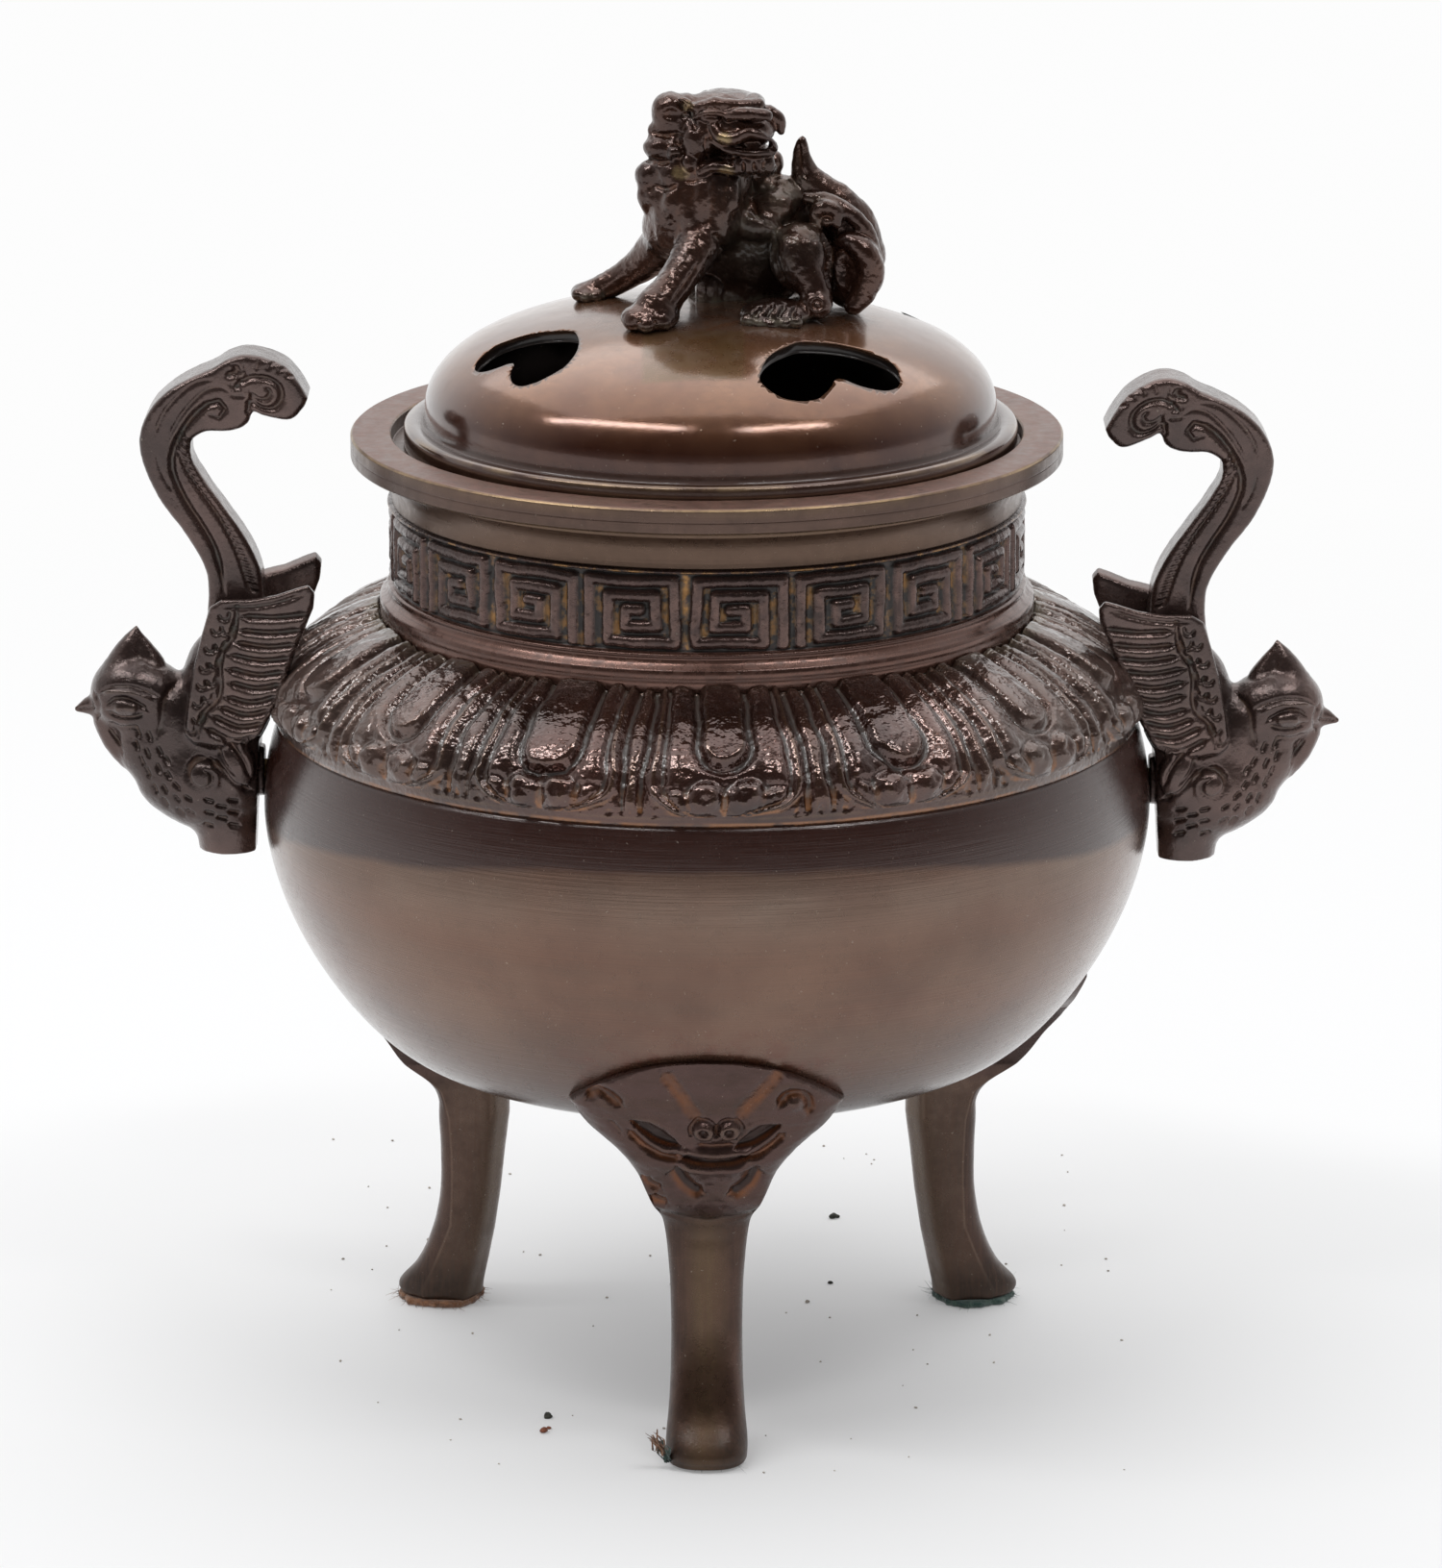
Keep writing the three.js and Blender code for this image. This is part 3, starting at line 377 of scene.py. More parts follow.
def bronze(name, base, dark, roughness, grain, extra, dust, grime=None, wear=None, lines=None, metal=0.72,
           coat=(0.3, 0.25), grain_mask=None):
    """Patinated bronze: mottled colour, grime in the hollows, worn ridges, a fine grain and settled dust.

    Grime is a colour and the hollows it starts and is full at. Wear is the same for ridges, and its share. Lines are
    streaks: their number per mm, stretch and depth in mm. Grain is its depth in mm, number per mm and detail.
    """
    look = Look(name)
    broad = look.noise(0.07, 5)
    fine = look.noise(0.6, 4)
    look.colour = look.mix(look.ramp(broad, 0.38, 0.62), dark, base)
    look.paint(look.ramp(fine, 0.55, 0.75, 0, 0.45), tuple(c * 0.55 for c in base))
    look.rough = look.ramp(fine, 0.35, 0.7, *roughness)
    look.metal = metal
    broken = look.plus(look.ramp(fine, 0.3, 0.7, -0.05, 0.05), look.attribute("hollow"))
    if wear:
        tint, low, high, share = wear
        look.paint(look.ramp(broken, low, high, share, 0), tint)
    if grime:
        tint, low, high = grime
        dirt = look.ramp(broken, low, high, 0, 0.95)
        look.paint(dirt, tint, 0.4)
        look.metal = look.ramp(dirt, 0, 1, metal, 0.1)
    normal = None
    if lines:
        per_mm, stretch, depth_mm = lines
        streaks = look.noise(per_mm, 3, stretch, 0.7)
        look.paint(look.ramp(streaks, 0.3, 0.7, 0, 0.5), tuple(c * 0.62 for c in base))
        normal = look.bump(streaks, depth_mm)
    extra(look)
    look.paint(look.ramp(look.noise(1.6, 2, (1, 1, 1), 0.8), 0.705, 0.76, 0, dust), (0.5, 0.44, 0.36), 0.4)
    depth_mm, per_mm, detail = grain
    grains = look.noise(per_mm, detail, (1, 1, 1), 0.65)
    if grain_mask:
        grains = look.times(grains, look.ramp(look.attribute(grain_mask), 0, 1, 1, 0.1))
    normal = look.bump(grains, depth_mm, normal)
    return look.finish(look.colour, look.rough, normal, look.metal, Coat_Weight=coat[0], Coat_Roughness=coat[1])


def sphere_mask(look, centre, radii, soft):
    """1 inside a soft-edged ellipsoid given in millimetres, 0 outside."""
    mapping = look.node("ShaderNodeMapping", vector_type="TEXTURE")
    mapping.inputs["Location"].default_value = [c * MM for c in centre]
    mapping.inputs["Scale"].default_value = [r * MM for r in radii]
    look.link(look.place, mapping.inputs["Vector"])
    return look.ramp(look.length(mapping.outputs["Vector"]), 1 - soft, 1 + soft, 1, 0)


def box_mask(look, centre, half, soft):
    """1 inside a soft-edged box over x and y in millimetres, 0 outside."""
    shares = []
    for place, c, h in zip(look.split(look.place), centre, half):
        away = look.math("ABSOLUTE", look.math("SUBTRACT", place, c * MM), 0)
        shares.append(look.ramp(away, (h - soft) * MM, (h + soft) * MM, 1, 0))
    return look.times(*shares)


def height_band(look, low, high, soft):
    """1 between two heights in millimetres, with soft ends."""
    height = look.split(look.place)["Z"]
    above = look.ramp(height, (low - soft) * MM, (low + soft) * MM)
    below = look.ramp(height, (high - soft) * MM, (high + soft) * MM, 1, 0)
    return look.times(above, below)


# Bowl

BELLY_RADIUS, BELLY_HEIGHT, BELLY_DEPTH, BELLY_POWER = 57.0, 75.4, 48.8, 1.79
BASE_HEIGHT, BASE_BLEND, SHOULDER_RISE = 42.4, 2.45, 44.0
COLLAR_SEAT, BOWL_WALL = 86.9, 2.5


def belly_height(radius, offset):
    """Height of the belly's lower curve at a radius, moved outward by an offset."""
    share = np.clip(np.asarray(radius, float) / (BELLY_RADIUS + offset), 0, 1)
    plain = BELLY_HEIGHT - (BELLY_DEPTH + offset) * (1 - share**BELLY_POWER) ** (1 / BELLY_POWER)
    base = BASE_HEIGHT - offset
    return base + BASE_BLEND * np.log1p(np.exp((plain - base) / BASE_BLEND))


def belly_radius(height, offset=0.0):
    """Radius of the belly at a height, by searching its lower curve, or from the ellipse above."""
    height = np.asarray(height, float)
    radii = np.linspace(0, BELLY_RADIUS + offset, 600)
    low = np.interp(height, belly_height(radii, offset), radii)
    rise = np.clip((height - BELLY_HEIGHT) / (SHOULDER_RISE + offset), 0, 1)
    return np.where(height > BELLY_HEIGHT, (BELLY_RADIUS + offset) * np.sqrt(1 - rise**2), low)


def belly_profile(top, offset, count):
    turn = np.linspace(0, math.pi / 2, count)
    low = np.stack([(BELLY_RADIUS + offset) * np.sin(turn), np.zeros(count)], 1)
    low[:, 1] = belly_height(low[:, 0], offset)
    z = np.linspace(BELLY_HEIGHT, top, 14)[1:]
    return np.vstack([low, np.stack([belly_radius(z, offset), z], 1)])


def make_bowl():
    outside = belly_profile(COLLAR_SEAT, 0, 90)
    inside = belly_profile(COLLAR_SEAT - BOWL_WALL, -BOWL_WALL, 60)[::-1]
    spigot = [[52.4, 86.9], [52.4, 89.3], [50.6, 89.3], [50.6, 86.9]]
    verts, faces = revolved(np.vstack([outside, spigot, inside]))
    outer = np.arange(len(verts)) < len(outside) * SEGMENTS

    def extra(look):
        # a painted dark band below the collar, standing in for a dark reflection and the collar's shade, a lighter
        # warm brown lower down, painted shade on the underside, and red patches over the legs
        sheen = look.patchy(height_band(look, 73, 80.5, 3), (0.04, 3), 0.35, 0.65, 0.2, 0.7)
        look.paint(sheen, (0.2, 0.145, 0.11))
        look.paint(look.ramp(look.noise(0.035, 3, (1, 1, 5)), 0.42, 0.62, 0, 0.5), (0.11, 0.062, 0.04))
        # painted shade: the underside of the bowl, from 30 to 52 mm up, is darkened
        look.paint(look.times(height_band(look, 30, 52, 7), 0.8), (0.055, 0.036, 0.032))
        warm = look.patchy(height_band(look, 52, 70, 9), (0.05, 3), 0.4, 0.6, 0.1, 0.6)
        look.paint(warm, (0.21, 0.12, 0.078))
        for turn in (-90, 30, 150):
            a = math.radians(turn)
            seam = sphere_mask(look, (46 * math.cos(a), 46 * math.sin(a), 51), (17, 17, 9), 0.3)
            red = look.patchy(seam, (0.35, 4), 0.45, 0.62, 0.15, 0.85)
            look.paint(red, (0.13, 0.04, 0.022))
        # the painted dark band of reflection and shade hangs lower towards the handles
        x, _, z = look.split(look.place)
        sag = look.times(look.times(x, x), 2.0)
        level = look.plus(look.plus(z, sag), look.times(look.noise(0.04, 2), 0.002))
        upper = look.ramp(level, 82.0 * MM, 83.0 * MM, 0, 0.96)
        look.paint(upper, (0.03, 0.008, 0.005))
        look.metal = look.ramp(upper, 0, 1, 0.72, 0.2)

    look = bronze(
        "bowl_bronze", (0.165, 0.081, 0.05), (0.125, 0.056, 0.034), (0.2, 0.3), (0.01, 5.0, 5), extra, 0.35,
        lines=(0.2, (0.12, 0.12, 26), 0.035), coat=(0.7, 0.12),
    )
    piece("bowl_shell", verts, faces, look, "censer", ["bowl"], {"hollow": np.where(outer, 0, 0.1)})


# Petal collar

PETALS, PETAL_TURN = 15, 2.5
COLLAR_INNER, COLLAR_OUTER, COLLAR_FOOT, COLLAR_RISE = 41.8, 55.35, 88.0, 12.1


def groove(distance, width):
    """1 on a line, falling off within a width on both sides."""
    return np.exp(-((distance / width) ** 2))


def petal_relief(across, down, wide):
    """Height of the cast petals in mm, over shares of a petal's pitch and of the way down."""
    a = np.abs(across)
    half = 0.405 * np.sqrt(np.clip(1 - (np.clip(down - 0.79, 0, 1) / 0.17) ** 2, 0, 1))
    petal = a - half
    inside = smooth(0.02, -0.03, petal)
    rim = 0.4 * groove(petal + 0.022, 0.018) - 0.55 * groove(petal + 0.066, 0.018)
    # a long tongue in a moat, with a rounded shoulder on each side
    width = 0.145 + 0.022 * wide
    length = 0.565 + 0.02 * wide
    tongue = np.where(down < length, a - width + 0.02 * (down - 0.4), np.hypot(a, down - length) - width)
    bulge = smooth(0.012, -0.025, tongue) * (0.4 + 0.35 * np.clip(1 - (a / 0.17) ** 2, 0, 1))
    moat = -0.85 * groove(tongue - 0.028, 0.024)
    shoulder = 0.45 * groove(a - 0.27, 0.06) * smooth(0.86, 0.74, down)
    # two curls at the foot of the petal, each round a small hollow
    lobe = np.hypot(a - 0.105, (down - 0.845) * 1.1)
    curls = 0.95 * smooth(0.12, 0.03, lobe) - 0.15 * groove(np.hypot(a - 0.085, down - 0.85), 0.022)
    scallop = -0.35 * groove(lobe - 0.105, 0.022) * smooth(0.88, 0.8, down)
    outer = np.hypot(a - 0.27, (down - 0.87) * 1.1)
    curls = curls + 0.35 * smooth(0.075, 0.04, outer) - 0.2 * groove(outer - 0.085, 0.02) * smooth(0.9, 0.84, down)
    notch = -0.55 * groove(a, 0.02) * smooth(0.83, 0.9, down)
    leaf = np.abs(a - 0.5)
    between = 0.55 * smooth(0.05, 0.02, leaf) - 0.45 * groove(leaf - 0.062, 0.016) + 0.2 * groove(leaf - 0.088, 0.012)
    between = between * smooth(0.99, 0.9, down) - 0.7 * groove(leaf, 0.02) * smooth(0.86, 0.93, down)
    relief = 0.6 * inside + (rim + (bulge + moat) * (down < 0.8) + shoulder + curls + scallop + notch) * inside
    relief = relief + between * (1 - inside) - 0.5 * groove(a - 0.37, 0.02) * smooth(0.9, 0.95, down)
    return relief * smooth(-0.02, 0.05, down)


def collar_curve(down):
    """Radius and height of the plain collar, from the neck (0) down to its foot (1)."""
    turn = np.clip(down, 0, 1) * math.pi / 2
    radius = COLLAR_INNER + (COLLAR_OUTER - COLLAR_INNER) * np.sin(turn) ** 1.79
    height = COLLAR_FOOT + COLLAR_RISE * np.maximum(np.cos(turn), 0) ** 0.87
    return radius, height


def make_collar():
    columns, rows = PETALS * 66, 104
    down = np.linspace(1, 0, rows) ** 0.92
    radius, height = collar_curve(down)
    slope = np.stack([np.gradient(radius), np.gradient(height)], 1)
    slope /= np.linalg.norm(slope, axis=1, keepdims=True)
    out = np.stack([slope[:, 1], -slope[:, 0]], 1)
    angle = circle_angles(columns)
    turns = (np.degrees(angle) + 90 - PETAL_TURN) / 360 * PETALS
    a, d = np.meshgrid(angle, down)
    ring = polar(50, a, 18 * d).reshape(-1, 3)
    warp = 0.016 * lattice_noise(ring, 3.0, 5).reshape(a.shape)
    share = np.meshgrid(turns, down)[0] + warp
    index = np.round(share)
    jitter = np.random.default_rng(11).uniform(-1, 1, (PETALS + 3, 2))
    shift = jitter[(index % PETALS).astype(int)]
    across = share - index + 0.008 * shift[..., 1]
    relief = petal_relief(across, 0.955 * d + 0.016 * lattice_noise(ring, 4.0, 8).reshape(a.shape), shift[..., 0])
    rough = 0.16 * rough_noise(ring, 1.7, 21) + 0.07 * rough_noise(ring, 0.7, 31)
    lumpy = 1 + 1.6 * smooth(0.72, 0.86, d)
    relief = relief + rough.reshape(a.shape) * lumpy * smooth(1.0, 0.95, d) * smooth(0, 0.04, d)
    relief = relief * smooth(1.0, 0.97, d)
    r = radius[:, None] + relief * out[:, :1]
    z = height[:, None] + relief * out[:, 1:]
    outer = polar(r, a, z)
    inner = np.array([
        [39.5, 100.1], [39.5, 97.5], [46.1, 94.9], [52.75, 89.6], [52.75, 86.9], [55.1, 86.9], [55.35, 87.15],
    ])
    verts = np.concatenate([outer, polar(inner[:, :1], angle, inner[:, 1:])]).reshape(-1, 3)
    faces = grid_faces(rows + len(inner), columns, closed=True)
    hollow = hollow_of(verts, faces, 14)
    hollow[rows * columns :] = 0.2
    depth = np.concatenate([d.ravel(), np.ones(len(inner) * columns)])

    def extra(look):
        down_share = look.attribute("down")
        sideways = look.ramp(look.math("ABSOLUTE", look.split(look.place)["X"], 0), 22 * MM, 44 * MM)
        dusty = look.patchy(sideways, (0.25, 3), 0.3, 0.6, 0.3, 0.75)
        look.paint(dusty, (0.125, 0.085, 0.07), 0.35)
        top = look.patchy(look.ramp(down_share, 0.0, 0.24, 0.85, 0), (0.5, 3), 0.3, 0.6, 0.3, 1)
        top = look.times(top, look.ramp(sideways, 0, 1, 0.25, 1))
        look.paint(top, (0.16, 0.14, 0.09), 0.35)
        low = look.times(look.ramp(down_share, 0.84, 0.97), look.ramp(look.attribute("hollow"), 0.0, 0.12))
        look.paint(look.patchy(low, (0.3, 3), 0.4, 0.55, 0.1, 0.9), (0.24, 0.095, 0.03))

    look = bronze(
        "collar_bronze", (0.09, 0.038, 0.028), (0.036, 0.014, 0.01), (0.1, 0.2), (0.12, 1.35, 1.5), extra, 0.3,
        grime=((0.042, 0.029, 0.024), 0.09, 0.3), wear=((0.34, 0.24, 0.13), -0.35, -0.12, 0.1), coat=(1, 0.07),
    )
    piece("collar_petals", verts, faces, look, "censer", ["petal_collar"],
        {"hollow": hollow, "down": depth})


# Neck with its fret band

FRETS, FRET_TURN, FRET_PITCH, BAND_RADIUS = 19, 5.8, 13.2, 39.75
FRET_PATH = [
    (-5.45, -4.25), (-5.45, 3.85), (5.25, 3.85), (5.25, -3.8), (-3.1, -3.8), (-3.1, 1.95),
    (2.95, 1.95), (2.95, -1.9), (-0.9, -1.9), (-0.9, 0.2), (1.0, 0.2),
]


# upright grooves of one spiral: where across, and from and to which height
UPRIGHTS = (
    (-6.6, -4.6, 4.6), (6.6, -4.6, 4.6), (-4.3, -4.2, 2.9), (4.1, -2.9, 3.0), (-2.0, -2.9, 1.0), (1.95, -1.0, 1.2),
)


def fret_relief(x, y):
    """Height of the square spiral in mm, and where brass shows in its upright grooves."""
    p = np.stack([x.ravel(), y.ravel()], 1)
    distance, _ = to_path(p, FRET_PATH)
    ridge = np.clip(1 - (distance / 0.78) ** 2, 0, 1) ** 0.4
    upright = np.full(len(p), 9.0)
    for line, low, high in UPRIGHTS:
        gap = np.abs(p[:, 0] - line) + 3 * np.clip(np.abs(p[:, 1] - (low + high) / 2) - (high - low) / 2, 0, 9)
        upright = np.minimum(upright, gap)
    return ridge.reshape(x.shape), smooth(0.55, 0.2, upright).reshape(x.shape)


def make_neck():
    columns = FRETS * 54
    low, high = 104.95, 114.75
    band = np.linspace(low, high, 70)
    before = np.array([
        [39.2, 97.7], [39.2, 100.1], [41.6, 100.1], [41.8, 100.3], [41.8, 101.5], [41.72, 101.7], [41.8, 101.9],
        [41.8, 102.8], [41.6, 103.05], [41.0, 103.5], [40.75, 103.9], [40.62, 104.2], [40.72, 104.35],
        [40.78, 104.55], [40.7, 104.75], [40.3, 104.85],
    ])
    after = np.array([
        [40.3, 114.85], [40.62, 114.92], [40.72, 115.1], [40.62, 115.3], [39.0, 115.3], [37.4, 115.3], [37.4, 97.7],
    ])
    angle = circle_angles(columns)
    turns = (np.degrees(angle) + 90 - FRET_TURN) / 360 * FRETS
    a, z = np.meshgrid(angle, band)
    ring = polar(40, a, z).reshape(-1, 3)
    index = np.round(turns)
    across = (turns - index) * FRET_PITCH
    across = np.where(index % 2 == 1, -across, across)
    x = np.broadcast_to(across, a.shape) + 0.2 * lattice_noise(ring, 3.2, 3).reshape(a.shape)
    y = z - (low + high) / 2 + 0.16 * lattice_noise(ring, 2.6, 4).reshape(a.shape)
    ridge, brass = fret_relief(x, y)
    relief = 0.8 * ridge + (0.09 * rough_noise(ring, 1.4, 41) + 0.04 * rough_noise(ring, 0.5, 51)).reshape(a.shape)
    radius = BAND_RADIUS + np.maximum(relief, -0.2) * smooth(low, low + 0.25, z) * smooth(high, high - 0.25, z)
    middle = polar(radius, a, z)

    def turned(profile):
        return polar(profile[:, :1] * (1 + 0.0006 * np.sin(3 * angle)), angle, profile[:, 1:])

    verts = np.concatenate([turned(before), middle, turned(after)]).reshape(-1, 3)
    rows = len(before) + len(band) + len(after)
    faces = grid_faces(rows, columns, closed=True)
    first, stop = len(before) * columns, (len(before) + len(band)) * columns
    hollow = np.zeros(len(verts))
    hollow[first:stop] = hollow_of(verts, faces, 10)[first:stop]
    gold = np.zeros(len(verts))
    gold[first:stop] = (brass * (1 - ridge)).ravel()
    height = np.repeat(np.concatenate([before[:, 1], 0 * band, after[:, 1]]), columns)
    gold[((height > 104.2) & (height < 104.8)) | ((height > 114.88) & (height < 115.2))] = 0.8
    ring_share = np.zeros(len(verts))
    ring_share[:first] = 1

    def extra(look):
        shine = look.patchy(look.attribute("gold"), (0.5, 4), 0.46, 0.6, 0.0, 1)
        look.paint(shine, (0.33, 0.17, 0.055))
        look.metal = look.math("MAXIMUM", look.metal, shine)
        smooth_ring = look.attribute("turned")
        lines = look.noise(0.1, 2, (0.1, 0.1, 34), 0.7)
        turned_colour = look.mix(look.ramp(lines, 0.35, 0.65), (0.15, 0.07, 0.05), (0.075, 0.032, 0.022))
        look.paint(smooth_ring, turned_colour)

    look = bronze(
        "fret_bronze", (0.09, 0.048, 0.04), (0.045, 0.024, 0.02), (0.2, 0.36), (0.07, 1.8, 2), extra, 0.25,
        grime=((0.013, 0.008, 0.006), 0.0, 0.1), wear=((0.22, 0.125, 0.1), -0.2, -0.06, 0.5),
        coat=(0.5, 0.22), grain_mask="turned",
    )
    marks = {"hollow": hollow, "gold": gold, "turned": ring_share}
    piece("neck_fret_band", verts, faces, look, "censer", ["neck_band"], marks)


# Mouth rim

def make_rim():
    profile = rounded([
        [40.2, 115.3], [40.05, 116.2], [40.2, 117.4], [40.6, 118.5], [41.1, 119.3], [41.35, 119.6], [41.35, 120.75],
        [44.9, 120.8], [45.3, 121.1], [45.3, 122.3], [45.25, 122.4], [45.3, 122.5], [45.3, 123.8], [45.0, 124.1],
        [40.35, 124.1], [40.1, 123.85], [40.1, 122.3], [37.4, 122.3], [37.4, 115.3],
    ], 0.25)
    profile = np.vstack([profile, profile[:1]])
    verts, faces = revolved(profile)
    push = 0.035 * rough_noise(verts, 5.0, 61)
    verts[:, 2] += np.where(verts[:, 2] > 124, push, 0)
    z, r = verts[:, 2], np.hypot(verts[:, 0], verts[:, 1])
    edge = groove(r - 45.2, 0.15) * groove(z - 123.95, 0.2) + 0.4 * groove(r - 40.2, 0.2) * groove(z - 124.0, 0.25)
    edge += 0.8 * groove(r - 45.1, 0.25) * groove(z - 120.9, 0.15) + 0.2 * groove(z - 119.7, 0.2) * (r > 41)
    top = smooth(123.95, 124.05, z) * smooth(45.2, 44.9, r)

    def extra(look):
        shine = look.patchy(look.attribute("edge"), (0.16, 4), 0.34, 0.58, 0.15, 1)
        dusty = look.patchy(look.attribute("top"), (0.9, 5), 0.35, 0.6, 0.35, 0.85)
        look.paint(dusty, (0.17, 0.085, 0.066), 0.22)
        look.paint(shine, (0.4, 0.27, 0.14))
        cove = height_band(look, 114, 120.3, 0.5)
        look.paint(look.times(cove, 0.6), (0.13, 0.075, 0.045))

    look = bronze(
        "rim_bronze", (0.12, 0.07, 0.052), (0.08, 0.046, 0.034), (0.26, 0.42), (0.012, 4.0, 5), extra, 0.3,
        lines=(0.1, (0.16, 0.16, 24), 0.03),
    )
    marks = {"hollow": np.zeros(len(verts)), "edge": np.clip(edge, 0, 1), "top": top}
    piece("mouth_rim_ring", verts, faces, look, "censer", ["mouth_rim"], marks)


# Cover: two domed discs with heart-shaped vents, joined by the walls of the vents and a turned edge

DOME_RADIUS, DOME_BASE, DOME_RISE, DOME_POWER = 36.35, 126.8, 13.9, 2.23
COVER_WALL, COVER_SLIP, DISC_EDGE = 1.6, 0.5, 34.2
VENT_TURN = math.radians(-57.5)


def dome_height(radius, offset=0.0):
    """Height of the cover's dome at a radius, moved outward by an offset."""
    share = np.clip(np.asarray(radius, float) / (DOME_RADIUS + offset), 0, 1)
    return DOME_BASE + (DOME_RISE + offset) * (1 - share**DOME_POWER) ** (1 / DOME_POWER)


def triangles(quads):
    """The first halves of all quads, then their second halves."""
    return np.vstack([quads[:, [0, 1, 2]], quads[:, [0, 2, 3]]])


def bezier(points, count):
    t = np.linspace(0, 1, count, endpoint=False)[:, None]
    p = [np.array(q, float) for q in points]
    if len(p) == 3:
        return (1 - t) ** 2 * p[0] + 2 * t * (1 - t) * p[1] + t * t * p[2]
    return (1 - t) ** 3 * p[0] + 3 * t * (1 - t) ** 2 * p[1] + 3 * t * t * (1 - t) * p[2] + t**3 * p[3]


def heart_outline(count, seed):
    """A heart in plan, its point towards the middle of the cover, as an even closed outline."""
    half = [(19.5, 0), (21.4, 6.6), (26.43, 8.8)], [(26.43, 8.8), (33.6, 8.8), (33.6, 2.2), (29.58, 0)]
    side = np.vstack([bezier(half[0], 60), bezier(half[1], 60)])
    other = side[:0:-1] * (1, -1)
    raw = np.vstack([side, [(29.58, 0)], other, side[:1]])
    even = evenly(raw, count, endpoint=False)
    for _ in range(3):
        even = 0.5 * even + 0.25 * (np.roll(even, 1, 0) + np.roll(even, -1, 0))
    return even + 0.14 * rough_noise(np.column_stack([even, np.full(count, seed * 50.0)]), 3.0, seed)[:, None]


def outline_normals(outline):
    along = np.roll(outline, -1, 0) - np.roll(outline, 1, 0)
    out = np.stack([along[:, 1], -along[:, 0]], 1)
    return out / np.linalg.norm(out, axis=1, keepdims=True)


def inside_outline(points, outline):
    """Whether each of many points lies inside an outline, edge by edge."""
    inside = np.zeros(len(points), bool)
    x, y = points[:, 0], points[:, 1]
    for (ax, ay), (bx, by) in zip(outline, np.roll(outline, -1, 0)):
        if ay == by:
            continue
        inside ^= ((ay > y) != (by > y)) & (x < (bx - ax) * (y - ay) / (by - ay) + ax)
    return inside


def holed_disc(rim, rings, spacing):
    """Plan points and triangles of a disc with a hole in each ring; the rim and rings come first."""
    radius = np.linalg.norm(rim[0])
    step = np.arange(-radius, radius, spacing)
    x, y = np.meshgrid(step, step)
    x = x + (np.arange(len(step)) % 2)[:, None] * spacing / 2
    inner = np.stack([x.ravel(), y.ravel()], 1)
    inner = inner[np.linalg.norm(inner, axis=1) < radius - spacing * 0.6]
    for ring in rings:
        out = ring + outline_normals(ring) * spacing * 0.55
        inner = inner[~inside_outline(inner, out)]
    points = np.vstack([rim, *rings, inner])
    edges, start = [], 0
    for loop in (rim, *rings):
        n = len(loop)
        edges += [(start + i, start + (i + 1) % n) for i in range(n)]
        start += n
    made = delaunay_2d_cdt([Vector(p) for p in points], edges, [], 0, 1e-6, True)
    back = np.array([ids[0] for ids in made[3]])
    faces = back[np.array(made[2])]
    middle = points[faces].mean(1)
    keep = np.ones(len(faces), bool)
    for ring in rings:
        keep &= ~inside_outline(middle, ring)
    faces = faces[keep]
    a, b, c = (points[faces[:, k]] for k in (0, 1, 2))
    turn = (b[:, 0] - a[:, 0]) * (c[:, 1] - a[:, 1]) - (b[:, 1] - a[:, 1]) * (c[:, 0] - a[:, 0])
    faces[turn < 0] = faces[turn < 0][:, ::-1]
    return points, faces


